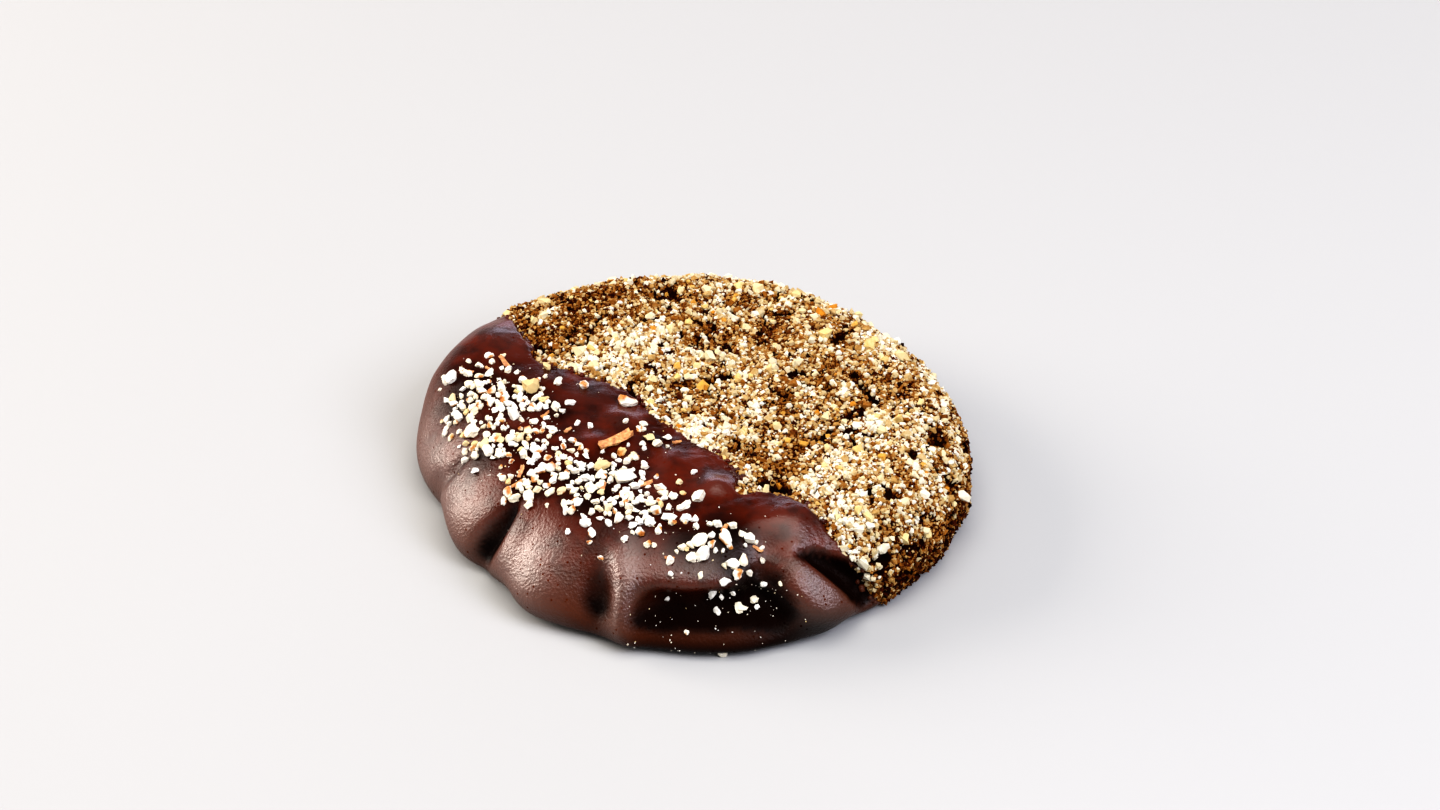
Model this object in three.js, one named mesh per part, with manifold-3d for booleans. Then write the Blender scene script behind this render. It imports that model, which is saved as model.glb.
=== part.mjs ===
// A round nut-meal biscuit, one side dipped in dark chocolate and strewn with chopped almonds.
// Millimetres, +Z up. The flat underside lies on z = 0, and -Y is the front.

import * as THREE from 'three';
import { ImprovedNoise } from 'three/addons/math/ImprovedNoise.js';
import { mergeVertices } from 'three/addons/utils/BufferGeometryUtils.js';
import Module from 'manifold-3d';

const wasm = await Module();
wasm.setup();
const { clamp, degToRad: radians, euclideanModulo, lerp, radToDeg: degrees, smoothstep } = THREE.MathUtils;

// Outline seen from above: a mean radius with a few low swells.
const meanRadius = 45.2;
const outlineSwells = [
  { crests: 2, deg: -36, rise: 2.0 },
  { crests: 3, deg: 23, rise: 0.4 },
  { crests: 4, deg: -18, rise: 0.55 },
];
const outlineMiddle = new THREE.Vector2(-0.1, -0.57); // middle of the outline's box, the part's origin

// Sections: flat base, wall that rounds in to its widest ring, shoulder, flat top. Heights and insets
// in millimetres, and how far each corner is pulled out. The dipped side is rounder.
const thickness = 16;
const baseInset = 3.6; // the flat base ends this far inside the widest ring
const plainSection = { widest: 6.5, shoulder: 9, base: 0.7, lower: 0.35, upper: 0.62, top: 0.35 };
const dippedSection = { widest: 3.8, shoulder: 13, base: 0.7, lower: 0.35, upper: 0.35, top: 0.65 };
const dippedSide = { deg: -120, near: 62, far: 80 }; // turns from its direction where it fades out
const baseRing = 0.7; // outside this share of the radius the base follows the wall's bulges
const underside = { flat: -0.9, side: -0.2 }; // relief fades out between these slopes of the surface

// Fineness of the solids. Steps are rows of the base, the lower wall, the upper wall and the top.
const coatSegments = 108;
const coatSteps = [4, 4, 9, 9];
const coatCrowding = 0.4; // share by which the coat's segments close up on the dipped side
const biscuitDetail = 13; // cuts along each side of the ball's twenty faces
const fineSteps = [60, 30, 40, 60];
const mergeDistance = 1e-4;

// Dip line: a level chocolate surface that met the tilted biscuit, wavy where it ran on the top.
// Along runs over the top to the back left, into runs from the bare side into the chocolate.
const dipDeg = 131;
const dipOffset = 6.3; // from the centre to the line on the top
const dipLean = 0.47; // the line moves this far to the bare side for each millimetre down
const dipWaves = [
  { along: 28, wide: 8, into: 4.5 },
  { along: 9, wide: 4, into: -0.8 },
  { along: -14.5, wide: 4, into: -1.0 },
  { along: -22.5, wide: 2.2, into: 4.3 },
  { along: -33, wide: 7, into: -2.6 },
];
const dipReach = 60; // half-length of the dipped block, past the outline
const dipStep = 2; // spacing of its edge points

// Chocolate coat.
const coatDepth = 1.6; // the biscuit is this much smaller under the coat
const coatFade = 6; // and gets smaller over this distance from the dip line
const coatRim = 0.8; // the coat stands this far above the bare biscuit
const gap = 0.3;

// Bulges and dents of the dipped wall: direction, height, half-widths and push outwards.
const wallLobes = [
  { deg: -182, height: 7, wideDeg: 12, tall: 6, push: 0.4 },
  { deg: -166.4, height: 11.5, wideDeg: 1.7, tall: 2.4, push: -1.1 },
  { deg: -167, height: 9, wideDeg: 1.9, tall: 2.4, push: -1.6 },
  { deg: -169.7, height: 6, wideDeg: 2.6, tall: 3, push: -1.3 },
  { deg: -170, height: 2.5, wideDeg: 8, tall: 4, push: -1.4 },
  { deg: -154.5, height: 6.5, wideDeg: 7, tall: 6.5, push: 1.1 },
  { deg: -160, height: 1.5, wideDeg: 7, tall: 3.5, push: -1.0 },
  { deg: -142.0, height: 11.2, wideDeg: 2.2, tall: 2.2, push: -2.6 },
  { deg: -142.7, height: 8.6, wideDeg: 2.6, tall: 2.6, push: -4.0 },
  { deg: -144.4, height: 5.4, wideDeg: 2.6, tall: 3.0, push: -3.0 },
  { deg: -136.5, height: 9.5, wideDeg: 3.0, tall: 4, push: 0.9 },
  { deg: -136, height: 1.5, wideDeg: 6, tall: 3.5, push: -1.0 },
  { deg: -126, height: 6.5, wideDeg: 8.5, tall: 6.5, push: 2.2 },
  { deg: -114.5, height: 10.6, wideDeg: 4, tall: 2.8, push: -1.0 },
  { deg: -111.2, height: 7.4, wideDeg: 3.4, tall: 3.4, push: -3.4 },
  { deg: -108, height: 12.9, wideDeg: 2.4, tall: 1.8, push: 0.9 },
  { deg: -105.2, height: 9, wideDeg: 3.0, tall: 4.5, push: 2.1 },
  { deg: -103.6, height: 4.5, wideDeg: 3, tall: 4, push: 1.2 },
  { deg: -97, height: 7.3, wideDeg: 6, tall: 2.6, push: -4.6 },
  { deg: -86, height: 7.6, wideDeg: 7.5, tall: 2.6, push: -4.6 },
  { deg: -75.5, height: 7.0, wideDeg: 6.5, tall: 2.4, push: -3.2 },
  { deg: -90, height: 11.6, wideDeg: 14, tall: 1.7, push: 1.2 },
  { deg: -80, height: 1.4, wideDeg: 15, tall: 2.6, push: 1.0 },
  { deg: -75.5, height: 9.8, wideDeg: 3.4, tall: 3.2, push: -2.6 },
  { deg: -73, height: 6, wideDeg: 3.2, tall: 2.5, push: -2.0 },
  { deg: -67, height: 11, wideDeg: 4.5, tall: 3.2, push: 1.2 },
  { deg: -63.5, height: 7.8, wideDeg: 5.5, tall: 3.6, push: 1.7 },
  { deg: -58.5, height: 4.8, wideDeg: 4.5, tall: 3, push: 0.8 },
  { deg: -57, height: 1.2, wideDeg: 4, tall: 2.6, push: -1.3 },
];

// Folds of the dipped wall, each a path of places with half-width and depth.
const folds = [
  [
    { place: new THREE.Vector3(17.2, -36.1, 13.5), wide: 0.9, deep: 1.2 },
    { place: new THREE.Vector3(20.1, -36.0, 12.4), wide: 1.7, deep: 2.6 },
    { place: new THREE.Vector3(24.0, -36.4, 9.8), wide: 2.4, deep: 3.2 },
    { place: new THREE.Vector3(27.1, -37.0, 7.0), wide: 2.4, deep: 3.0 },
    { place: new THREE.Vector3(28.6, -36.9, 5.0), wide: 2.2, deep: 2.2 },
  ],
  [
    { place: new THREE.Vector3(11.0, -38.4, 11.8), wide: 1.6, deep: 0.8 },
    { place: new THREE.Vector3(13.6, -39.4, 10.8), wide: 1.8, deep: 1.2 },
    { place: new THREE.Vector3(15.2, -41.0, 8.4), wide: 1.6, deep: 0.8 },
  ],
];

const foldUnder = 1.3; // the biscuit's folds are deeper by this share, to leave the coat its thickness

// Flat facet beside the first fold: its middle, the direction and height it faces, and its half-sizes.
const facet = {
  middle: new THREE.Vector3(19.3, -40.0, 10.1),
  facesDeg: -62,
  facesUpDeg: 44,
  along: new THREE.Vector3(5.2, -1.4, -3.1),
  wide: 4.4,
  reach: 4,
};

// Lumps and hollows of the chocolate's top, placed along and into from the centre.
const coatHumps = [
  { along: 36, into: 12, wide: 5, rise: 0.9 },
  { along: 22, into: 13, wide: 3, rise: 0.4 },
  { along: 12.5, into: 9, wide: 4, rise: 0.5 },
  { along: 5, into: 11, wide: 2.8, rise: 0.9 },
  { along: 3, into: 19.5, wide: 2.6, rise: 0.6 },
  { along: -10, into: 12, wide: 5, rise: 0.6 },
  { along: -19.5, into: 11.5, wide: 2.8, rise: 1.2 },
  { along: -33.0, into: 8.0, wide: 5, rise: 1.0 },
  { along: -35.5, into: 14.5, wide: 4.5, rise: -1.6 },
];

// Lumps, hollows and pits of the bare biscuit's top.
const biscuitHumps = [
  { along: 24, into: -6, wide: 9, rise: 0.8 },
  { along: 0, into: -24, wide: 11, rise: 0.7 },
  { along: -22, into: -12, wide: 10, rise: -0.7 },
  { along: 4, into: -4, wide: 8, rise: -0.6 },
  { along: -34, into: -8, wide: 7, rise: 0.8 },
  { along: 29, into: -18, wide: 2.5, rise: -1.4 },
  { along: -33, into: -26, wide: 2.8, rise: -1.8 },
  { along: -24.5, into: 3, wide: 2.6, rise: -1.4 },
  { along: -15, into: -26, wide: 2.5, rise: -1.0 },
];
const crags = [
  { size: 5.5, rise: 0.75 },
  { size: 2.75, rise: 0.37 },
];
const crumbSwell = 0.8; // loose crumb stands this far out of the bare biscuit's wall
const crumbSwellTop = 0.2; // and of its top
const cragRoom = 1.8; // the biscuit stays plain this close to the dip line
const cragFade = 3; // and grows rough over this distance

// Chopped almonds: the largest pieces by their places, then handfuls dropped on the chocolate.
const nutSeed = 2719;
const nutCount = 105;
const nutMiddle = 2.1; // size of the first dropped piece
const nutSmallest = 1.5; // and of the last
const largeNuts = [
  { along: 21.9, into: 17.6, size: 3.5 },
  { along: -8.1, into: 21.3, size: 3.4 },
  { along: 7.7, into: 7.6, size: 3.0 },
  { along: 17.4, into: 24.6, size: 2.6 },
  { along: -3.0, into: 22.2, size: 2.8 },
  { along: -6.3, into: 27.7, size: 2.4 },
  { along: -20.2, into: 16.2, size: 2.4 },
  { along: -20.5, into: 23.3, size: 2.6 },
  { along: -29.6, into: 23.4, size: 2.8 },
  { along: -27.4, into: 22.7, size: 2.6 },
  { along: -29.6, into: 19.0, size: 2.4 },
  { along: -31.8, into: 15.8, size: 2.2 },
  { along: 13.9, into: 32.8, size: 2.6 },
  { along: 20.3, into: 31.0, size: 2.6 },
  { along: 24.7, into: 11.4, size: 2.0 },
  { along: 16.4, into: 10.3, size: 2.0 },
  { along: 1.9, into: 29.3, size: 2.2 },
  { along: -33.2, into: 20.7, size: 2.0 },
  { along: 34.0, into: 24.5, size: 2.4 },
  { along: -2.5, into: 11.6, size: 2.0 },
  { along: 0.3, into: 35.2, size: 2.2 },
  { along: -1.0, into: 36.0, size: 1.8 },
  { along: -12.3, into: 28.9, size: 2.2 },
  { along: -11.6, into: 32.9, size: 2.0 },
  { along: -18.1, into: 23.8, size: 2.0 },
];
const nutHandfuls = [
  { along: 31.1, into: 23.2, spread: 3.2, share: 0.06 },
  { along: 27.9, into: 26.8, spread: 3.0, share: 0.07 },
  { along: 20.9, into: 21.0, spread: 3.4, share: 0.12 },
  { along: 13.3, into: 18.4, spread: 2.2, share: 0.03 },
  { along: 14.8, into: 33.1, spread: 2.4, share: 0.05 },
  { along: 9.8, into: 28.4, spread: 2.8, share: 0.07 },
  { along: 3.1, into: 34.4, spread: 2.2, share: 0.05 },
  { along: -1.1, into: 27.7, spread: 3.2, share: 0.1 },
  { along: -4.6, into: 21.9, spread: 2.8, share: 0.07 },
  { along: -9.3, into: 29.0, spread: 3.2, share: 0.09 },
  { along: -16.8, into: 25.2, spread: 3.6, share: 0.13 },
  { along: -26.8, into: 23.6, spread: 2.4, share: 0.06 },
  { along: -30.2, into: 18.1, spread: 2.4, share: 0.04 },
  { along: -33.9, into: 21.0, spread: 1.8, share: 0.02 },
  { along: -2.6, into: 10.5, spread: 2.2, share: 0.04 },
];
const nutEdgeRoom = 3; // kept bare inside the outline
const nutDipRoom = 2.5; // and beside the dip line
const nutSpacing = 0.8; // least distance of two pieces, in mean sizes
const nutSink = 0.12; // a piece's middle lies this share of its size below the surface
const nutJitter = 0.28; // share by which a corner moves in or out
const nutShape = new THREE.Vector3(1.15, 0.85, 0.75);
const nutTilt = radians(17);

const noise = new ImprovedNoise();

function bump(distance, wide) {
  return Math.exp(-((distance / wide) ** 2));
}

// Like a bump, but flatter in the middle and with steeper sides.
function steep(distance, wide) {
  return Math.exp(-((distance / wide) ** 4));
}

// Shortest turn between two directions, in degrees.
function turnBetween(deg, otherDeg) {
  return euclideanModulo(deg - otherDeg + 180, 360) - 180;
}

function outlineRadius(angle) {
  let radius = meanRadius;
  for (const swell of outlineSwells) {
    radius += swell.rise * Math.cos(swell.crests * (angle - radians(swell.deg)));
  }
  return radius;
}

function wallPush(angle, height) {
  let push = 0;
  for (const lobe of wallLobes) {
    const turn = turnBetween(degrees(angle), lobe.deg);
    push += lobe.push * bump(turn, lobe.wideDeg) * bump(height - lobe.height, lobe.tall);
  }
  return push;
}

function foldDepth(point) {
  let depth = 0;
  for (const path of folds) {
    for (let at = 1; at < path.length; at += 1) {
      const [start, end] = [path[at - 1], path[at]];
      const line = new THREE.Line3(start.place, end.place);
      const share = line.closestPointToPointParameter(point, true);
      const away = line.at(share, new THREE.Vector3()).distanceTo(point);
      const wide = lerp(start.wide, end.wide, share);
      depth = Math.max(depth, lerp(start.deep, end.deep, share) * steep(away, wide));
    }
  }
  return depth;
}

// Brings a point near the facet onto its plane.
function flattened(point) {
  const [deg, upDeg] = [radians(facet.facesDeg), radians(facet.facesUpDeg)];
  const flat = Math.cos(upDeg);
  const face = new THREE.Vector3(flat * Math.cos(deg), flat * Math.sin(deg), Math.sin(upDeg));
  const across = face.clone().cross(facet.along).normalize();
  const away = point.clone().sub(facet.middle);
  const high = away.dot(face);
  const inLength = steep(away.dot(facet.along), facet.along.lengthSq());
  const inWidth = steep(away.dot(across), facet.wide);
  return point.clone().addScaledVector(face, -high * inLength * inWidth * bump(high, facet.reach));
}

// Turns plan x, y into the dip line's own along, into, and back.
function toDip(x, y) {
  return new THREE.Vector2(x, y).rotateAround(new THREE.Vector2(), -radians(dipDeg));
}

function fromDip(along, into) {
  return new THREE.Vector2(along, into).rotateAround(new THREE.Vector2(), radians(dipDeg));
}

function dipLine(along, height) {
  let wave = 0;
  for (const lobe of dipWaves) {
    wave += lobe.into * bump(along - lobe.along, lobe.wide);
  }
  return dipOffset - dipLean * (thickness - height) + (wave * height) / thickness;
}

// How far a point lies past the dip line, on the chocolate's side.
function dipDepth(point) {
  const place = toDip(point.x, point.y);
  return place.y - dipLine(place.x, point.z);
}

function humpRise(humps, point) {
  const place = toDip(point.x, point.y);
  let rise = 0;
  for (const hump of humps) {
    rise += hump.rise * bump(Math.hypot(place.x - hump.along, place.y - hump.into), hump.wide);
  }
  return rise;
}

// Section rows from the middle of the base to the middle of the top, each with its outward normal.
function sectionRows(section, steps) {
  const widest = new THREE.Vector2(meanRadius, section.widest);
  const baseEnd = new THREE.Vector2(meanRadius - baseInset, 0);
  const topEnd = new THREE.Vector2(meanRadius - section.shoulder, thickness);
  const basePull = new THREE.Vector2(baseEnd.x + section.base * baseInset, 0);
  const lowerPull = new THREE.Vector2(meanRadius, section.lower * section.widest);
  const upperPull = new THREE.Vector2(meanRadius, lerp(section.widest, thickness, section.upper));
  const topPull = new THREE.Vector2(meanRadius - section.top * section.shoulder, thickness);
  const curves = [
    new THREE.LineCurve(new THREE.Vector2(0, 0), baseEnd),
    new THREE.CubicBezierCurve(baseEnd, basePull, lowerPull, widest),
    new THREE.CubicBezierCurve(widest, upperPull, topPull, topEnd),
    new THREE.LineCurve(topEnd, new THREE.Vector2(0, thickness)),
  ];
  const rows = [];
  curves.forEach((curve, piece) => {
    const firstStep = piece === 0 ? 0 : 1;
    for (let step = firstStep; step <= steps[piece]; step += 1) {
      const point = curve.getPoint(step / steps[piece]);
      const tangent = curve.getTangent(step / steps[piece]);
      rows.push({ point, out: tangent.y, up: -tangent.x });
    }
  });
  return rows;
}

function bothSections(steps) {
  return { plain: sectionRows(plainSection, steps), dipped: sectionRows(dippedSection, steps) };
}

function rowBetween(from, to, part) {
  const point = from.point.clone().lerp(to.point, part);
  const slope = new THREE.Vector2(lerp(from.out, to.out, part), lerp(from.up, to.up, part)).normalize();
  return { point, out: slope.x, up: slope.y };
}

// The section's row towards a direction, blended to the dipped side's row.
function rowTowards(angle, plainRow, dippedRow) {
  const turn = Math.abs(turnBetween(degrees(angle), dippedSide.deg));
  return rowBetween(plainRow, dippedRow, 1 - smoothstep(turn, dippedSide.near, dippedSide.far));
}

// A point of the whole cookie's form, before biscuit and coat part from each other.
function formPoint(angle, row, foldShare) {
  const radius = (row.point.x * outlineRadius(angle)) / meanRadius;
  const lower = smoothstep(row.point.x, baseRing * meanRadius, meanRadius - baseInset);
  const wall = row.up > 0 ? row.out : lower;
  const pushed = radius + wall * wallPush(angle, row.point.y);
  const place = new THREE.Vector3(pushed * Math.cos(angle), pushed * Math.sin(angle), row.point.y);
  const point = flattened(place);
  return point.addScaledVector(formNormal(angle, row), -foldShare * foldDepth(point));
}

function formNormal(angle, row) {
  return new THREE.Vector3(row.out * Math.cos(angle), row.out * Math.sin(angle), row.up);
}

// How far the biscuit lies inside the form, to make room for the coat.
function coatRoom(point) {
  return coatDepth * smoothstep(dipDepth(point), 0, coatFade);
}

// Offsets move a point of the form outwards: to the biscuit, to the room it needs, to the coat.
function biscuitOffset(point, row) {
  let relief = Math.max(crumbSwell * row.out, crumbSwellTop);
  relief += humpRise(biscuitHumps, point) * Math.max(row.up, 0);
  for (const { size, rise } of crags) {
    relief += rise * noise.noise(point.x / size, point.y / size, point.z / size);
  }
  const bare = 1 - smoothstep(dipDepth(point), -cragFade - cragRoom, -cragRoom);
  const aboveBase = smoothstep(row.up, underside.flat, underside.side);
  return bare * aboveBase * relief - coatRoom(point);
}

function cavityOffset(point) {
  return gap - coatRoom(point);
}

function coatOffset(point, row) {
  const humps = humpRise(coatHumps, point) * Math.max(row.up, 0);
  return coatRim * smoothstep(row.up, underside.flat, underside.side) + humps;
}

function moveToForm(position, index, angle, row, offset, foldShare) {
  const point = formPoint(angle, row, foldShare);
  point.addScaledVector(formNormal(angle, row), offset(point, row));
  position.setXYZ(index, point.x, point.y, point.z);
}

// Lathe of the section, its segments closer on the dipped side, moved onto the form.
function latheGeometry(offset) {
  const { plain, dipped } = bothSections(coatSteps);
  const geometry = new THREE.LatheGeometry(plain.map((row) => row.point), coatSegments);
  const position = geometry.getAttribute('position');
  for (let index = 0; index < position.count; index += 1) {
    const even = (2 * Math.PI * Math.floor(index / plain.length)) / coatSegments;
    const angle = even - coatCrowding * Math.sin(even - radians(dipDeg + 90));
    const at = index % plain.length;
    moveToForm(position, index, angle, rowTowards(angle, plain[at], dipped[at]), offset, 1);
  }
  return geometry;
}

// Ball of even triangles, spread over the section by area and moved onto the form.
function ballGeometry(offset) {
  const { plain, dipped } = bothSections(fineSteps);
  const areas = [0];
  for (let at = 1; at < plain.length; at += 1) {
    const [from, to] = [plain[at - 1].point, plain[at].point];
    areas.push(areas[at - 1] + Math.PI * (from.x + to.x) * from.distanceTo(to));
  }
  const geometry = new THREE.IcosahedronGeometry(1, biscuitDetail);
  const position = geometry.getAttribute('position');
  for (let index = 0; index < position.count; index += 1) {
    const share = clamp((1 + position.getZ(index)) / 2, 0, 1);
    const area = share * areas.at(-1);
    const next = clamp(areas.findIndex((reached) => reached >= area), 1, plain.length - 1);
    const part = (area - areas[next - 1]) / (areas[next] - areas[next - 1]);
    const plainRow = rowBetween(plain[next - 1], plain[next], part);
    const dippedRow = rowBetween(dipped[next - 1], dipped[next], part);
    const angle = Math.atan2(position.getY(index), position.getX(index));
    moveToForm(position, index, angle, rowTowards(angle, plainRow, dippedRow), offset, foldUnder);
  }
  return geometry;
}

function withSharedVertices(geometry) {
  geometry.deleteAttribute('normal');
  geometry.deleteAttribute('uv');
  return mergeVertices(geometry, mergeDistance);
}

// Closed solid of a geometry, with the empty triangles at a lathe's poles left out.
function solidOf(geometry) {
  const merged = withSharedVertices(geometry);
  const index = merged.getIndex();
  const triangles = [];
  for (let at = 0; at < index.count; at += 3) {
    const [a, b, c] = [index.getX(at), index.getX(at + 1), index.getX(at + 2)];
    if (a !== b && b !== c && c !== a) triangles.push(a, b, c);
  }
  const vertProperties = new Float32Array(merged.getAttribute('position').array);
  const triVerts = new Uint32Array(triangles);
  return new wasm.Manifold(new wasm.Mesh({ numProp: 3, vertProperties, triVerts }));
}

// The block of space below the chocolate's surface while the biscuit was dipped.
function dippedBlock() {
  const edge = [];
  for (let along = -dipReach; along <= dipReach; along += dipStep) {
    edge.push(new THREE.Vector2(along, 0));
  }
  edge.push(new THREE.Vector2(dipReach, dipReach), new THREE.Vector2(-dipReach, dipReach));
  const depth = 2 * thickness;
  const geometry = new THREE.ExtrudeGeometry(new THREE.Shape(edge), { depth, bevelEnabled: false });
  geometry.translate(0, 0, -thickness / 2);
  const position = geometry.getAttribute('position');
  for (let index = 0; index < position.count; index += 1) {
    const along = position.getX(index);
    const height = position.getZ(index);
    const into = position.getY(index) + dipLine(along, height);
    const place = fromDip(along, into);
    position.setXYZ(index, place.x, place.y, height);
  }
  return solidOf(geometry);
}

// Repeatable random numbers from 0 to 1.
function randomSource(seed) {
  let state = seed;
  return () => {
    state = (state * 16807) % 2147483647;
    return state / 2147483647;
  };
}

function pickHandful(draw) {
  let reached = 0;
  for (const handful of nutHandfuls) {
    reached += handful.share;
    if (draw < reached) return handful;
  }
  return nutHandfuls[0];
}

// Places and sizes of the chopped almonds.
function nutPlaces() {
  const random = randomSource(nutSeed);
  const places = largeNuts.map(({ along, into, size }) => {
    const { x, y } = fromDip(along, into);
    return { x, y, size };
  });
  while (places.length < nutCount) {
    const handful = pickHandful(random());
    const reach = handful.spread * Math.sqrt(-2 * Math.log(random()));
    const turn = 2 * Math.PI * random();
    const { x, y } = fromDip(handful.along + reach * Math.cos(turn), handful.into + reach * Math.sin(turn));
    const size = lerp(nutMiddle, nutSmallest, places.length / nutCount);
    const inside = Math.hypot(x, y) < outlineRadius(Math.atan2(y, x)) - nutEdgeRoom;
    const dipped = dipDepth(new THREE.Vector3(x, y, thickness)) > nutDipRoom;
    const clear = places.every((other) => {
      const room = (nutSpacing * (size + other.size)) / 2;
      return Math.hypot(x - other.x, y - other.y) > room;
    });
    if (inside && dipped && clear) places.push({ x, y, size });
  }
  return places;
}

// Point of the coat's upper surface above a plan position.
function coatTop(x, y) {
  const angle = Math.atan2(y, x);
  const radius = Math.hypot(x, y);
  const { plain, dipped } = bothSections(fineSteps);
  let nearest = null;
  plain.forEach((plainRow, at) => {
    if (plainRow.up < 0) return;
    const row = rowTowards(angle, plainRow, dipped[at]);
    const point = formPoint(angle, row, 1);
    point.addScaledVector(formNormal(angle, row), coatOffset(point, row));
    const miss = Math.abs(Math.hypot(point.x, point.y) - radius);
    if (!nearest || miss < nearest.miss) nearest = { point, miss };
  });
  return nearest.point;
}

// One piece of chopped almond: a rough, slightly flattened lump.
function nutSolid(place, random) {
  const geometry = withSharedVertices(new THREE.IcosahedronGeometry(place.size / 2));
  const position = geometry.getAttribute('position');
  const corner = new THREE.Vector3();
  for (let index = 0; index < position.count; index += 1) {
    corner.fromBufferAttribute(position, index);
    corner.multiplyScalar(1 + nutJitter * (2 * random() - 1));
    position.setXYZ(index, corner.x, corner.y, corner.z);
  }
  geometry.scale(nutShape.x, nutShape.y, nutShape.z);
  geometry.rotateX(nutTilt * (2 * random() - 1));
  geometry.rotateZ(2 * Math.PI * random());
  const top = coatTop(place.x, place.y);
  geometry.translate(top.x, top.y, top.z - nutSink * place.size);
  return solidOf(geometry);
}

function makeBiscuit() {
  const material = new THREE.MeshStandardMaterial({ color: '#c9a878', roughness: 0.9, metalness: 0 });
  return meshOf('biscuit', solidOf(ballGeometry(biscuitOffset)), material);
}

function makeChocolateCoat() {
  const outer = solidOf(latheGeometry(coatOffset));
  const cavity = solidOf(ballGeometry(cavityOffset));
  const random = randomSource(nutSeed + 1);
  let coat = outer.intersect(dippedBlock());
  for (const place of nutPlaces()) {
    coat = coat.add(nutSolid(place, random));
  }
  coat = coat.subtract(cavity);
  const material = new THREE.MeshStandardMaterial({ color: '#3a1a10', roughness: 0.4, metalness: 0 });
  return meshOf('chocolate_coat', coat, material);
}

function meshOf(name, body, material) {
  const { vertProperties, triVerts } = body.getMesh();
  const geometry = new THREE.BufferGeometry();
  geometry.setAttribute('position', new THREE.BufferAttribute(vertProperties, 3));
  geometry.setIndex(new THREE.BufferAttribute(triVerts, 1));
  geometry.computeVertexNormals();
  const mesh = new THREE.Mesh(geometry, material);
  mesh.name = name;
  return mesh;
}

const cookie = new THREE.Group();
cookie.name = 'dipped_cookie';
cookie.add(makeBiscuit(), makeChocolateCoat());
cookie.position.set(-outlineMiddle.x, -outlineMiddle.y, 0);

export default cookie;
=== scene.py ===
import math

import bmesh
import bpy
import numpy as np
from mathutils import Matrix, Quaternion, Vector, kdtree, noise
from mathutils.bvhtree import BVHTree


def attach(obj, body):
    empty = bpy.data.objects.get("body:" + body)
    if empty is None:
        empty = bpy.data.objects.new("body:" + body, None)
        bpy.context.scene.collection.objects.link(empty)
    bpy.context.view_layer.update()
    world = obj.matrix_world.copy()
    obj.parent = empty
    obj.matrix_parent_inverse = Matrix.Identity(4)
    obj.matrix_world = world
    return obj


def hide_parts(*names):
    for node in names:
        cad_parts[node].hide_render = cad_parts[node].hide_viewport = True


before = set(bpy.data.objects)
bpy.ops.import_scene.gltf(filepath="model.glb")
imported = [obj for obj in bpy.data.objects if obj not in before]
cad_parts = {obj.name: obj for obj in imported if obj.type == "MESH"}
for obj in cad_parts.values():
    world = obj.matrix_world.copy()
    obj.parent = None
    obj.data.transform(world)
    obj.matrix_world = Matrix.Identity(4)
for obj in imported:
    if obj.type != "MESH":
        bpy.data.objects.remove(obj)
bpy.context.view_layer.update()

mm = 0.001

# The cookie's form in millimetres, with the values of the solids
form = {
    "meanRadius": 45.2,
    "swells": [(2, -36, 2.0), (3, 23, 0.4), (4, -18, 0.55)],  # crests, direction, rise
    "thickness": 16,
    "baseInset": 3.6,
    "baseRing": 0.7,
    "underside": (-0.9, -0.2),  # slopes between which relief fades out
    "dippedSide": (-120, 62, 80),  # direction, and the turns from it where its section fades out
    "planShift": (0.1, 0.57, 0),  # from the outline's centre to the part's origin
}

# Sections: height of the widest ring, inset of the flat top, and how far the corners are pulled out
sections = {
    "plain": {"widest": 6.5, "shoulder": 9, "base": 0.7, "lower": 0.35, "upper": 0.62, "top": 0.35},
    "dipped": {"widest": 3.8, "shoulder": 13, "base": 0.7, "lower": 0.35, "upper": 0.35, "top": 0.65},
}

# Dip line on the top: along runs to the back left, into runs into the chocolate
dip = {
    "deg": 131,
    "offset": 6.3,
    "lean": 0.47,
    # along, half-width, shift into the chocolate
    "waves": [(28, 8, 4.5), (9, 4, -0.8), (-14.5, 4, -1.0), (-22.5, 2.2, 4.3), (-33, 7, -2.6)],
}

# Bulges and dents of the dipped wall: direction, height, half-width in degrees, half-height, push
wallLobes = [
    (-182, 7, 12, 6, 0.4), (-166.4, 11.5, 1.7, 2.4, -1.1), (-167, 9, 1.9, 2.4, -1.6),
    (-169.7, 6, 2.6, 3, -1.3), (-170, 2.5, 8, 4, -1.4), (-154.5, 6.5, 7, 6.5, 1.1),
    (-160, 1.5, 7, 3.5, -1.0), (-142.0, 11.2, 2.2, 2.2, -2.6), (-142.7, 8.6, 2.6, 2.6, -4.0),
    (-144.4, 5.4, 2.6, 3.0, -3.0), (-136.5, 9.5, 3.0, 4, 0.9), (-136, 1.5, 6, 3.5, -1.0),
    (-126, 6.5, 8.5, 6.5, 2.2), (-114.5, 10.6, 4, 2.8, -1.0), (-111.2, 7.4, 3.4, 3.4, -3.4),
    (-108, 12.9, 2.4, 1.8, 0.9), (-105.2, 9, 3.0, 4.5, 2.1), (-103.6, 4.5, 3, 4, 1.2),
    (-97, 7.3, 6, 2.6, -4.6), (-86, 7.6, 7.5, 2.6, -4.6), (-75.5, 7.0, 6.5, 2.4, -3.2),
    (-90, 11.6, 14, 1.7, 1.2), (-80, 1.4, 15, 2.6, 1.0), (-75.5, 9.8, 3.4, 3.2, -2.6),
    (-73, 6, 3.2, 2.5, -2.0), (-67, 11, 4.5, 3.2, 1.2), (-63.5, 7.8, 5.5, 3.6, 1.7),
    (-58.5, 4.8, 4.5, 3, 0.8), (-57, 1.2, 4, 2.6, -1.3),
]

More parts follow.
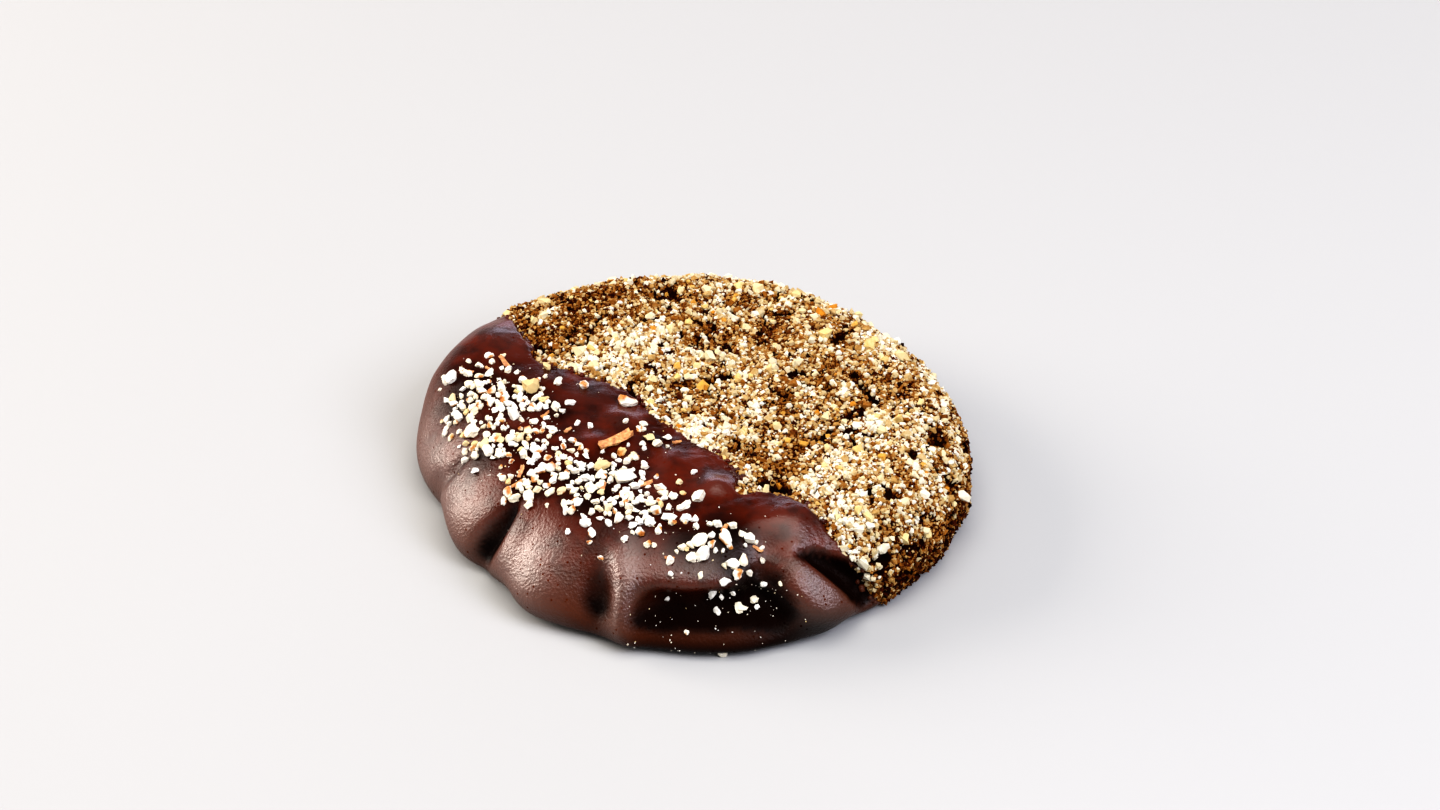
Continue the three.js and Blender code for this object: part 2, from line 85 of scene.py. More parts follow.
# Folds of the chocolate, each a path of places with half-width and depth
folds = [
    [
        (17.2, -36.1, 13.5, 0.9, 1.2), (20.1, -36.0, 12.4, 1.7, 2.6), (24.0, -36.4, 9.8, 2.4, 3.2),
        (27.1, -37.0, 7.0, 2.4, 3.0), (28.6, -36.9, 5.0, 2.2, 2.2),
    ],
    [(11.0, -38.4, 11.8, 1.6, 0.8), (13.6, -39.4, 10.8, 1.8, 1.2), (15.2, -41.0, 8.4, 1.6, 0.8)],
]

# Flat facet beside the first fold: direction and height it faces, and its half-length as a way
facet = {
    "middle": (19.3, -40.0, 10.1),
    "faces": (-62, 44),
    "along": (5.2, -1.4, -3.1),
    "wide": 4.4,
    "reach": 4,  # points farther off its plane stay where they are
}

# Dents that get painted shade on the chocolate: pushed in more than this, and higher up than the foot
shadedDents = {"push": -0.5, "above": 5}


def smoothstep(value, low, high):
    t = np.clip((value - low) / (high - low), 0, 1)
    return t * t * (3 - 2 * t)


def bump(distance, wide):
    return np.exp(-((distance / wide) ** 2))


def outlineRadius(angle):
    radius = np.full_like(angle, form["meanRadius"])
    for crests, deg, rise in form["swells"]:
        radius += rise * np.cos(crests * (angle - math.radians(deg)))
    return radius


def degreesFrom(angle, deg):
    return (np.degrees(angle) - deg + 180) % 360 - 180


def wallSpots(spots, angle, height):
    return sum(
        change * bump(degreesFrom(angle, deg), wide) * bump(height - middle, tall)
        for deg, middle, wide, tall, change in spots
    )


def wallDent(angle, height):
    # how deep the dents of the wall are, which sets their painted shade
    dents = [lobe for lobe in wallLobes if lobe[4] < shadedDents["push"] and lobe[1] > shadedDents["above"]]
    return -wallSpots(dents, angle, height)


def steep(distance, wide):
    # like bump, but flatter in the middle and with steeper sides
    return np.exp(-((distance / wide) ** 4))


def pathDepth(points, paths):
    # depth of grooves along paths, whose places end with half-width and depth
    depth = np.zeros(len(points))
    for path in paths:
        for start, end in zip(np.array(path), np.array(path[1:])):
            run = (end - start)[:-2]
            share = np.clip((points - start[:-2]) @ run / (run @ run), 0, 1)[:, None]
            spot = start + share * (end - start)
            away = np.linalg.norm(points - spot[:, :-2], axis=1)
            depth = np.maximum(depth, spot[:, -1] * steep(away, spot[:, -2]))
    return depth


def flatten(points):
    # brings the facet's points onto its plane
    turn, high = (math.radians(deg) for deg in facet["faces"])
    face = np.array([math.cos(high) * math.cos(turn), math.cos(high) * math.sin(turn), math.sin(high)])
    way = np.array(facet["along"])
    across = np.cross(face, way / np.linalg.norm(way))
    away = points - facet["middle"]
    off = away @ face
    inside = steep(away @ way / (way @ way), 1) * steep(away @ across, facet["wide"])
    inside *= bump(off, facet["reach"])
    return points - (inside * off)[:, None] * face


def dippedSide(angle):
    deg, near, far = form["dippedSide"]
    return 1 - smoothstep(np.abs(degreesFrom(angle, deg)), near, far)


def toDip(points):
    turn = math.radians(dip["deg"])
    along = points[:, 0] * math.cos(turn) + points[:, 1] * math.sin(turn)
    into = points[:, 1] * math.cos(turn) - points[:, 0] * math.sin(turn)
    return along, into


def fromDip(along, into):
    turn = math.radians(dip["deg"])
    return along * math.cos(turn) - into * math.sin(turn), along * math.sin(turn) + into * math.cos(turn)


def dipDepth(points):
    along, into = toDip(points)
    height = points[:, 2]
    wave = sum(shift * bump(along - middle, wide) for middle, wide, shift in dip["waves"])
    line = dip["offset"] - dip["lean"] * (form["thickness"] - height) + wave * height / form["thickness"]
    return into - line


def humpRise(humps, points):
    along, into = toDip(points)
    return sum(
        rise * bump(np.hypot(along - middleAlong, into - middleInto), wide)
        for middleAlong, middleInto, wide, rise in humps
    )


def bezier(start, leave, arrive, end, count):
    # points and slopes of a curve that leaves and arrives in the direction of two pull points
    t = np.linspace(0, 1, count + 1)[:, None]
    start, leave, arrive, end = (np.array(point, float) for point in (start, leave, arrive, end))
    points = (1 - t) ** 3 * start + 3 * (1 - t) ** 2 * t * leave + 3 * (1 - t) * t**2 * arrive + t**3 * end
    slopes = (1 - t) ** 2 * (leave - start) + 2 * (1 - t) * t * (arrive - leave) + t**2 * (end - arrive)
    return points, slopes / np.linalg.norm(slopes, axis=1)[:, None]


sectionSteps = {"flat": 60, "lower": 30, "upper": 40}


def sectionColumns(look):
    # radius, height, slope out and slope up of a section, from the base's middle to the top's
    rim, top, widest = form["meanRadius"], form["thickness"], look["widest"]
    base, shoulder = rim - form["baseInset"], rim - look["shoulder"]
    basePull = (base + look["base"] * form["baseInset"], 0)
    upperPull = (rim, widest + look["upper"] * (top - widest))
    topPull = (rim - look["top"] * look["shoulder"], top)
    flat, lower, upper = sectionSteps["flat"], sectionSteps["lower"], sectionSteps["upper"]
    pieces = [
        bezier((0, 0), (base / 3, 0), (base * 2 / 3, 0), (base, 0), flat),
        bezier((base, 0), basePull, (rim, look["lower"] * widest), (rim, widest), lower),
        bezier((rim, widest), upperPull, topPull, (shoulder, top), upper),
        bezier((shoulder, top), (shoulder * 2 / 3, top), (shoulder / 3, top), (0, top), flat),
    ]
    points = np.concatenate([pieces[0][0]] + [piece[0][1:] for piece in pieces[1:]])
    slopes = np.concatenate([pieces[0][1]] + [piece[1][1:] for piece in pieces[1:]])
    return points[:, 0], points[:, 1], slopes[:, 1], -slopes[:, 0]


plainSection = sectionColumns(sections["plain"])
dippedSection = sectionColumns(sections["dipped"])


def areaShares():
    radius, height = plainSection[:2]
    steps = np.hypot(np.diff(radius), np.diff(height))
    areas = np.concatenate([[0], np.cumsum((radius[1:] + radius[:-1]) * steps)])
    return areas / areas[-1]


sectionShares = areaShares()


def onForm(directions, folded=True):
    # spreads directions evenly over the form: points, normals, slope up, depth past the dip line
    share = (1 + directions[:, 2]) / 2
    angle = np.arctan2(directions[:, 1], directions[:, 0])
    blend = dippedSide(angle)
    radius, height, out, up = (
        (1 - blend) * np.interp(share, sectionShares, plain)
        + blend * np.interp(share, sectionShares, dipped)
        for plain, dipped in zip(plainSection, dippedSection)
    )
    length = np.hypot(out, up)
    out, up = out / length, up / length
    baseRim = form["meanRadius"] - form["baseInset"]
    lower = smoothstep(radius, form["baseRing"] * form["meanRadius"], baseRim)
    wall = np.where(up > 0, out, lower)
    pushed = radius * outlineRadius(angle) / form["meanRadius"]
    pushed = pushed + wall * wallSpots(wallLobes, angle, height)
    points = np.stack([pushed * np.cos(angle), pushed * np.sin(angle), height], axis=1)
    normals = np.stack([out * np.cos(angle), out * np.sin(angle), up], axis=1)
    points = flatten(points)
    if folded:
        points = points - normals * pathDepth(points, folds)[:, None]
    return points, normals, up, dipDepth(points)


def aboveBase(up):
    # 0 on the flat underside, 1 on wall and top
    return smoothstep(up, *form["underside"])


seedShift = (7.31, 3.17, 5.73)  # how far the noise moves from one seed to the next
noiseSeeds = {"crags": 0, "pale": 21, "crannies": 31, "coatEdge": 40, "coatWaves": 50, "dents": 60}


def noiseAt(points, size, seed):
    shift = Vector([seed * step for step in seedShift])
    return np.array([noise.noise(Vector(point) / size + shift) for point in points])


def evenDirections(count, jitter, draw):
    # a spiral of evenly spaced directions, each moved a little
    index = np.arange(count) + 0.5
    z = 1 - 2 * index / count
    turn = math.pi * (1 + math.sqrt(5)) * index
    flat = np.sqrt(1 - z * z)
    directions = np.stack([flat * np.cos(turn), flat * np.sin(turn), z], axis=1)
    spacing = math.sqrt(4 * math.pi / count)
    directions += draw.normal(0, jitter * spacing, directions.shape)
    return directions / np.linalg.norm(directions, axis=1)[:, None]


def fineBall(subdivisions, wantsFine):
    # ball of even triangles, split once more where it has to show detail
    ball = bmesh.new()
    bmesh.ops.create_icosphere(ball, subdivisions=subdivisions, radius=1)
    fine = wantsFine(ballDirections(ball))
    ball.verts.index_update()
    edges = [edge for edge in ball.edges if all(fine[vert.index] for vert in edge.verts)]
    bmesh.ops.subdivide_edges(ball, edges=edges, cuts=1, use_grid_fill=True)
    bmesh.ops.triangulate(ball, faces=ball.faces[:])
    return ball


def ballDirections(ball):
    directions = np.array([vert.co for vert in ball.verts])
    return directions / np.linalg.norm(directions, axis=1)[:, None]


def moveVerts(shape, points):
    places = (points + form["planShift"]) * mm
    for vert, place in zip(shape.verts, places):
        vert.co = place


def addObject(name, data):
    thing = bpy.data.objects.new(name, data)
    bpy.context.scene.collection.objects.link(thing)
    return thing


def newPiece(name, mesh, material, node):
    piece = addObject(name, mesh)
    mesh.materials.append(material)
    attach(piece, "root")
    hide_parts(node)
    print(name, len(mesh.polygons), "faces")
    return piece


def toMesh(name, shape):
    mesh = bpy.data.meshes.new(name)
    shape.to_mesh(mesh)
    shape.free()
    return mesh


def shadeSmooth(mesh):
    mesh.polygons.foreach_set("use_smooth", [True] * len(mesh.polygons))


def setAttribute(mesh, name, values):
    attribute = mesh.attributes.new(name, "FLOAT", "POINT")
    attribute.data.foreach_set("value", np.asarray(values, np.float32))


# Materials


def colour(hexCode):
    # linear light of an sRGB hex code
    shares = [int(hexCode[at:at + 2], 16) / 255 for at in (1, 3, 5)]
    linear = [share / 12.92 if share <= 0.04045 else ((share + 0.055) / 1.055) ** 2.4 for share in shares]
    return (*linear, 1)


def setRamp(node, stops):
    ramp = node.color_ramp
    while len(ramp.elements) < len(stops):
        ramp.elements.new(0.5)
    for element, (place, hexCode) in zip(ramp.elements, stops):
        element.position = place
        element.color = colour(hexCode)


def newMaterial(name):
    material = bpy.data.materials.new(name)
    material.use_nodes = True
    tree = material.node_tree
    tree.nodes.clear()

    def add(kind, settings=None, links=None):
        # adds one node; a node given as a link stands for its first output
        node = tree.nodes.new("ShaderNode" + kind)
        for key, value in (settings or {}).items():
            if isinstance(key, str) and hasattr(node, key):
                setattr(node, key, value)
            else:
                node.inputs[key].default_value = value
        for key, source in (links or {}).items():
            output = source.outputs[0] if isinstance(source, bpy.types.Node) else source
            tree.links.new(output, node.inputs[key])
        return node

    return material, add


# Shades of ground nut from black-brown, used for painted shade in gaps and hollows, over toasted bits to
# white flesh
nutShades = [
    (0.0, "#1c0500"),
    (0.16, "#4a1b06"),
    (0.36, "#925c20"),
    (0.55, "#b69258"),
    (0.72, "#cbba91"),
    (0.88, "#d8cfb6"),
    (1.0, "#e3dfd0"),
]

# Baked crumb of ground nuts: matt, packed from grains of many shades, with painted shade darkening the
# gaps between them
crumbLooks = {
    "grainSize": 0.75,
    "gap": 0.16,  # as a share of the grain size
    "gapShade": 0.45,
    "variety": 0.6,
    "specks": (0.3, 0.12, 0.6),  # size, depth, strength
    "matt": {"Roughness": 0.85, "IOR": 1.45, "Specular IOR Level": 0.03},
}


def bakedCrumb():
    looks = crumbLooks
    material, add = newMaterial("bakedNutCrumb")
    place = add("TexCoord").outputs["Object"]
    # the depth attribute is the tone set in makeBiscuit, painted shade included
    depth = add("Attribute", {"attribute_name": "depth"}).outputs["Fac"]
    grainScale = 1 / (looks["grainSize"] * mm)
    cells = add("TexVoronoi", {"Scale": grainScale}, {"Vector": place})
    shade = add("SeparateColor", links={"Color": cells.outputs["Color"]})
    spread = {"operation": "MULTIPLY_ADD", 1: looks["variety"], 2: -looks["variety"] / 2}
    variety = add("Math", spread, {0: shade})
    edges = add("TexVoronoi", {"feature": "DISTANCE_TO_EDGE", "Scale": grainScale}, {"Vector": place})
    # painted shade: the colour darkens towards the edges of each grain cell
    gapRange = {"From Max": looks["gap"], "To Min": -looks["gapShade"], "To Max": 0.0}
    gaps = add("MapRange", gapRange, {"Value": edges})
    grains = add("Math", {"operation": "ADD"}, {0: variety, 1: gaps})
    tone = add("Math", {"operation": "ADD"}, {0: depth, 1: grains})
    ramp = add("ValToRGB", links={"Fac": tone})
    setRamp(ramp, nutShades)
    size, deep, strength = looks["specks"]
    specks = add("TexNoise", {"Scale": 1 / (size * mm), "Detail": 3.0}, {"Vector": place})
    rough = add("Bump", {"Strength": strength, "Distance": deep * mm}, {"Height": specks})
    shader = add("BsdfPrincipled", looks["matt"], {"Base Color": ramp, "Normal": rough})
    add("OutputMaterial", links={"Surface": shader})
    return material


# Grains of ground nut: dry and matt, each grain of one shade with a slightly mottled face
grainLooks = {
    "mottleSize": 0.5,
    "mottle": 0.3,
    "matt": {"Roughness": 0.8, "IOR": 1.45, "Specular IOR Level": 0.05},
}


def nutGrain(name, stops):
    looks = grainLooks
    material, add = newMaterial(name)
    place = add("TexCoord").outputs["Object"]
    tone = add("Attribute", {"attribute_name": "tone"}).outputs["Fac"]
    mottle = add("TexNoise", {"Scale": 1 / (looks["mottleSize"] * mm), "Detail": 2.0}, {"Vector": place})
    spread = {"operation": "MULTIPLY_ADD", 1: looks["mottle"], 2: -looks["mottle"] / 2}
    shade = add("Math", {"operation": "ADD"}, {0: tone, 1: add("Math", spread, {0: mottle})})
    ramp = add("ValToRGB", links={"Fac": shade})
    setRamp(ramp, stops)
    shader = add("BsdfPrincipled", looks["matt"], {"Base Color": ramp})
    add("OutputMaterial", links={"Surface": shader})
    return material


# Set dark chocolate: satin, deep red-brown with darker blotches on top, milkier on the wall, with
# painted shade (near black and dull) in dents and folds, at the foot, around the almonds and in spots;
# its grain and pinholes are drawn coarser than real ones, so that they show
chocolateLooks = {
    "top": "#5b1d09",
    "blotch": "#3c1206",
    "wall": "#5d2c13",
    # near black of painted shade, for dents, folds, the foot and around the almonds
    "dark": "#140502",
    "sizes": {"blotches": 4, "mottle": 0.5, "grain": 0.45, "waves": 3.5},
    "blotches": (0.42, 0.62),  # noise levels between which they fade in
    "mottle": 0.8,
    "waves": (0.3, 0.5),  # depth, strength
    "grain": 0.18,  # depth
    "topGrain": (0.25, 0.25),  # share of it on the flat top, and slope where it is whole
    "roughness": (0.27, 0.42),  # of top and wall
    "ior": 1.8,
    "shineTint": "#fffaf5",
    "holeSpacing": 1.3,
    "hole": (0.1, 0.19),  # its dark middle and its rim, as shares of the spacing
    "holeShare": 0.5,  # of the places that have one
}


def darkChocolate():
    looks = chocolateLooks
    material, add = newMaterial("setDarkChocolate")
    place = add("TexCoord").outputs["Object"]
    wall, dark, shine = (
        add("Attribute", {"attribute_name": name}).outputs["Fac"] for name in ("wall", "dark", "shine")
    )
    noises = {}
    for name, detail in (("blotches", 3.0), ("mottle", 3.0), ("grain", 4.0), ("waves", 2.0)):
        scale = 1 / (looks["sizes"][name] * mm)
        noises[name] = add("TexNoise", {"Scale": scale, "Detail": detail}, {"Vector": place})

    # a Mix node takes its colours at 6 and 7 and gives the mixed one at 2
    low, high = looks["blotches"]
    blotches = add("MapRange", {"From Min": low, "From Max": high}, {"Value": noises["blotches"]})
    topColours = {"data_type": "RGBA", 6: colour(looks["top"]), 7: colour(looks["blotch"])}
    top = add("Mix", topColours, {0: blotches})
    spread = {"operation": "MULTIPLY_ADD", 1: looks["mottle"], 2: -looks["mottle"] / 2}
    milky = add("Math", spread, {0: noises["mottle"]})
    milkyWall = add("Math", {"operation": "ADD", "use_clamp": True}, {0: wall, 1: milky})
    wallColour = {"data_type": "RGBA", 7: colour(looks["wall"])}
    plain = add("Mix", wallColour, {0: milkyWall, 6: top.outputs[2]})
    # painted shade: where the dark attribute is high the chocolate turns near black
    shadeColour = {"data_type": "RGBA", 7: colour(looks["dark"])}
    base = add("Mix", shadeColour, {0: dark, 6: plain.outputs[2]})

    # waves, and a fine grain that is weaker on the flat top
    deep, strength = looks["waves"]
    coarse = add("Bump", {"Strength": strength, "Distance": deep * mm}, {"Height": noises["waves"]})
    least, slope = looks["topGrain"]
    grainy = add("MapRange", {"From Max": slope, "To Min": least, "To Max": 1.0}, {"Value": wall})
    grain = {"Height": noises["grain"], "Normal": coarse, "Strength": grainy}
    fine = add("Bump", {"Distance": looks["grain"] * mm}, grain)

    # pinholes take the shine away
    cells = add("TexVoronoi", {"Scale": 1 / (looks["holeSpacing"] * mm)}, {"Vector": place})
    chance = add("SeparateColor", links={"Color": cells.outputs["Color"]})
    whole = add("Math", {"operation": "GREATER_THAN", 1: looks["holeShare"]}, {0: chance})
    away = add("Math", {"operation": "ADD"}, {0: cells, 1: whole})
    middle, rim = looks["hole"]
    holes = add("MapRange", {"From Min": middle, "From Max": rim}, {"Value": away})
    closed = add("Math", {"operation": "MULTIPLY"}, {0: shine, 1: holes})

    topRough, wallRough = looks["roughness"]
    gloss = add("MapRange", {"To Min": topRough, "To Max": wallRough}, {"Value": wall})
    shader = add(
        "BsdfPrincipled",
        {"IOR": looks["ior"], "Specular Tint": colour(looks["shineTint"])},
        {"Base Color": base.outputs[2], "Roughness": gloss, "Specular IOR Level": closed, "Normal": fine},
    )
    add("OutputMaterial", links={"Surface": shader})
    return material


# Chopped almond: white, slightly waxy flesh, with orange-brown skin left on some sides
almondLooks = {
    "flesh": [(0.0, "#dcc48e"), (0.25, "#ece2c8"), (1.0, "#f4f1e8")],
    "skin": [(0.3, "#9a4f1a"), (0.5, "#c8833a"), (0.7, "#dcb070")],
    "streaks": (0.6, 0.08, 0.4),  # size, depth, strength
    "waxy": {"Roughness": 0.55, "IOR": 1.47},
}


def choppedAlmond():
    looks = almondLooks
    material, add = newMaterial("choppedAlmond")
    place = add("TexCoord").outputs["Object"]
    skin, tone = (add("Attribute", {"attribute_name": name}).outputs["Fac"] for name in ("skin", "tone"))
    flesh = add("ValToRGB", links={"Fac": tone})
    setRamp(flesh, looks["flesh"])
    size, deep, strength = looks["streaks"]
    streaks = add("TexNoise", {"Scale": 1 / (size * mm), "Detail": 3.0}, {"Vector": place})
    toast = add("ValToRGB", links={"Fac": streaks})
    setRamp(toast, looks["skin"])
    base = add("Mix", {"data_type": "RGBA"}, {0: skin, 6: flesh, 7: toast})
    pits = add("Bump", {"Strength": strength, "Distance": deep * mm}, {"Height": streaks})
    shader = add("BsdfPrincipled", looks["waxy"], {"Base Color": base.outputs[2], "Normal": pits})
    add("OutputMaterial", links={"Surface": shader})
    return material


# Biscuit
biscuit = {
    "subdivisions": 7,
    "coatRoom": 1.6,  # under the coat the biscuit is smaller
    "coatFade": 6,
    "wallSwell": 0.5,
    "reliefEnd": (-1.2, 0.8),  # depths past the dip line between which the relief ends
    "fine": (1, -0.8),  # the mesh is fine to this depth past the dip line and down to this slope
    # along, into, half-width, rise
    "humps": [
        (24, -6, 9, 0.8), (0, -24, 11, 0.7), (-22, -12, 10, -0.7), (4, -4, 8, -0.6),
        (-34, -8, 7, 0.8), (29, -18, 2.5, -1.4), (-33, -26, 2.8, -1.8), (-24.5, 3.5, 2.4, -1.2),
    ],
    # both ends: along, into, half-width, depth
    "cracks": [
        [(-11.2, -26.6, 0.8, 1.6), (-19.0, -24.4, 0.8, 1.6)],
        [(-23.0, 4.4, 1.0, 1.9), (-26.8, 2.5, 1.0, 1.9)],
        [(-30.8, -27.2, 1.2, 0.8), (-33.2, -26.6, 1.2, 0.8)],
        [(27.4, -20.2, 1.2, 0.4), (29.4, -20.4, 1.2, 0.4)],
    ],
    "crags": [(5.5, 0.75), (2.75, 0.37)],  # size, rise
    # in the wall: direction, height, half-width in degrees, half-height, push
    "pits": [
        (-39.9, 11.1, 1.6, 1.2, -1.8), (-36.8, 9.4, 1.6, 1.0, -1.6), (-34.0, 12.1, 1.8, 1.0, -1.6),
        (-31.1, 11.2, 1.4, 1.0, -1.6), (-25.7, 7.5, 2.0, 1.2, -1.8), (-13.5, 11.9, 1.8, 1.0, -1.6),
        (0.7, 5.3, 2.0, 1.0, -1.6), (12.0, 4.1, 2.2, 1.0, -1.6), (-42.2, 9.3, 1.5, 1.2, -1.8),
        (-46.3, 10.0, 1.5, 1.4, -1.8),
    ],
    # between clumps, in patches; flat is the slope that counts as top
    "crannies": {
        "size": 4.2, "width": (0.03, 0.14), "deep": 1.0, "top": -0.05, "wall": 0.25, "flat": 0.7,
        "patchSize": 7, "patchEdge": 0.12,
    },
    # packed grains, which end between two depths past the dip line
    "domes": {
        "seed": 3, "count": 20000, "scatter": 0.25, "radius": 0.7, "rise": 0.5, "sunk": 0.6,
        "end": (0.2, 1.5),
    },
    # what makes the crumb paler or darker: pale patches, and painted shade that is lighter on domes and
    # raised relief and darker in crannies and cracks
    "tone": {
        "base": 0.08, "dome": 0.4, "relief": 0.2, "reliefReach": (-1.2, 1.0), "pale": 0.12,
        "cranny": 0.5, "crackShade": 0.35,
    },
}


def biscuitRelief(points, up, depth):
    # height over the form, before the single grains
    relief = biscuit["wallSwell"] * (1 - np.abs(up))
    relief += humpRise(biscuit["humps"], points) * np.maximum(up, 0)
    for seed, (size, rise) in enumerate(biscuit["crags"], noiseSeeds["crags"]):
        relief += rise * noiseAt(points, size, seed)
    relief += wallSpots(biscuit["pits"], np.arctan2(points[:, 1], points[:, 0]), points[:, 2])
    relief -= crackDepth(points)
    bare = 1 - smoothstep(depth, *biscuit["reliefEnd"])
    return bare * aboveBase(up) * relief


def crackDepth(points):
    depth = pathDepth(np.stack(toDip(points), axis=1), biscuit["cracks"])
    return depth * (points[:, 2] > form["thickness"] / 2)


def crannyAt(points, up):
    # winding crannies between clumps, more of them on the wall
    look = biscuit["crannies"]
    seed = noiseSeeds["crannies"]
    line = 1 - smoothstep(np.abs(noiseAt(points, look["size"], seed)), *look["width"])
    patch = noiseAt(points, look["patchSize"], seed + 1)
    patch = patch + np.where(up > look["flat"], look["top"], look["wall"])
    return line * smoothstep(patch, 0, look["patchEdge"])


def coatRoom(depth):
    return biscuit["coatRoom"] * smoothstep(depth, 0, biscuit["coatFade"])


def makeBiscuit():
    farthest, lowest = biscuit["fine"]

    def shows(directions):
        _, _, up, depth = onForm(directions)
        return (depth < farthest) & (up > lowest)

    shape = fineBall(biscuit["subdivisions"], shows)
    points, normals, up, depth = onForm(ballDirections(shape))
    relief = biscuitRelief(points, up, depth)

    # domes of packed grains, with crevices between them
    domes = biscuit["domes"]
    draw = np.random.default_rng(domes["seed"])
    centres = onForm(evenDirections(domes["count"], domes["scatter"], draw))[0]
    tree = kdtree.KDTree(len(centres))
    for index, centre in enumerate(centres):
        tree.insert(centre, index)
    tree.balance()
    nearest = np.array([tree.find(point)[2] for point in points])
    dome = np.sqrt(np.clip(1 - (nearest / domes["radius"]) ** 2, 0, 1))
    cranny = crannyAt(points, up)
    bare = 1 - smoothstep(depth, *domes["end"])
    grains = domes["rise"] * (dome - domes["sunk"]) - biscuit["crannies"]["deep"] * cranny
    points += normals * (relief + bare * aboveBase(up) * grains - coatRoom(depth))[:, None]
    points[:, 2] = np.maximum(points[:, 2], 0)

    # tone: pale patches are the crumb's own colour; domes, relief, crannies and cracks add painted shade
    shade = biscuit["tone"]
    pale = np.clip(paleness(points, up), -1, 1)
    tone = shade["base"] + shade["dome"] * dome + shade["relief"] * np.clip(relief, *shade["reliefReach"])
    tone += shade["pale"] * pale - shade["cranny"] * cranny
    tone -= shade["crackShade"] * np.minimum(crackDepth(points), 1)
    moveVerts(shape, points)
    mesh = toMesh("biscuitCrumb", shape)
    shadeSmooth(mesh)
    setAttribute(mesh, "depth", tone)
    return newPiece("biscuitCrumb", mesh, bakedCrumb(), "biscuit")


# Grains
chipSides = (0.75, 1.2)  # range of a chip's three sizes


def chipShape(faces, jitter, draw):
    # one rough chip about 1 across with 8 or 20 faces, as vertex and triangle arrays
    chip = bmesh.new()
    if faces == 8:
        bmesh.ops.create_cone(chip, segments=4, radius1=0.5, radius2=0, depth=0.5, cap_ends=False)
        bmesh.ops.translate(chip, verts=chip.verts[:], vec=(0, 0, 0.25))
        half = chip.verts[:] + chip.edges[:] + chip.faces[:]
        bmesh.ops.mirror(chip, geom=half, axis="Z", merge_dist=0.001)
        bmesh.ops.recalc_face_normals(chip, faces=chip.faces[:])
    else:
        bmesh.ops.create_icosphere(chip, subdivisions=1, radius=0.5)
    points, triangles = asArrays(chip)
    points = points + jitter * 0.5 * draw.uniform(-1, 1, points.shape)
    return points * draw.uniform(*chipSides, 3), triangles


def asArrays(shape):
    # corners and triangles of a small shape, which is then freed
    points = np.array([vert.co for vert in shape.verts])
    shape.verts.index_update()
    triangles = np.array([[vert.index for vert in face.verts] for face in shape.faces])
    shape.free()
    return points, triangles


def randomTurns(count, draw):
    return np.array([Quaternion(four).normalized().to_matrix() for four in draw.normal(size=(count, 4))])


def joinChips(name, shapes, places, turns, sizes, values, pick, cornerValues=None):
    # joins one chip for each place into a mesh, with values for each chip and for a shape's corners
    points, corners, kept, start = [], [], [], 0
    perCorner = {key: [] for key in cornerValues or {}}
    for number, (shape, triangles) in enumerate(shapes):
        mine = np.nonzero(pick == number)[0]
        turned = np.einsum("nij,kj->nki", turns[mine], shape) * sizes[mine][:, None, None]
        points.append((turned + places[mine][:, None, :]).reshape(-1, 3))
        offsets = start + len(shape) * np.arange(len(mine))
        corners.append((triangles[None] + offsets[:, None, None]).reshape(-1, 3))
        kept.append(np.repeat(mine, len(shape)))
        start += len(shape) * len(mine)
        for key in perCorner:
            perCorner[key].append(np.tile(cornerValues[key][number], len(mine)))
    mesh = bpy.data.meshes.new(name)
    placed = (np.concatenate(points) + form["planShift"]) * mm
    placed[:, 2] = np.maximum(placed[:, 2], 0)
    mesh.from_pydata(placed.tolist(), [], np.concatenate(corners).tolist())
    order = np.concatenate(kept)
    for key, value in values.items():
        setAttribute(mesh, key, value[order])
    for key, value in perCorner.items():
        setAttribute(mesh, key, np.concatenate(value))
    return mesh


# One dictionary for each kind of grain: sizes in millimetres, lift as a share of the size, and tone as
# its middle, its change from patch to patch and its variety
grainKinds = {
    "toastedGrains": {
        "seed": 11, "count": 66000, "faces": 8, "median": 0.64, "spread": 0.3, "largest": 1.4, "lift": 0.0,
        "share": 0.75, "patchy": -0.5, "tone": (0.455, 0.25, 0.21), "shades": nutShades,
    },
    "paleGrains": {
        "seed": 12, "count": 56000, "faces": 20, "median": 0.7, "spread": 0.32, "largest": 1.6,
        "lift": 0.05, "share": 0.56, "patchy": 0.8, "tone": (0.76, 0.25, 0.2), "shades": nutShades,
    },
    "almondChunks": {
        "seed": 13, "count": 4600, "faces": 20, "median": 1.1, "spread": 0.32, "largest": 2.6,
        "lift": 0.15, "share": 0.42, "patchy": 0.4, "tone": (0.6, 0.1, 0.28),
        "shades": [(0.0, "#c4822a"), (0.2, "#d0a552"), (0.4, "#dbc891"), (1.0, "#e6e0cc")],
    },
}

# What all grains share
grainRules = {
    "scatter": 0.3,
    "dipRoom": 0.1,  # none lie farther past the dip line
    "lowest": -0.75,  # nor where the surface faces further down
    "crannyFree": 0.4,
    "liftSpread": 0.15,
    "shadedHollows": (0.7, 1.5),  # depths of hollow between which they get painted shade
    "hollowShadeDark": 0.6,
    "chips": 12,
    "chipJitter": 0.36,
}

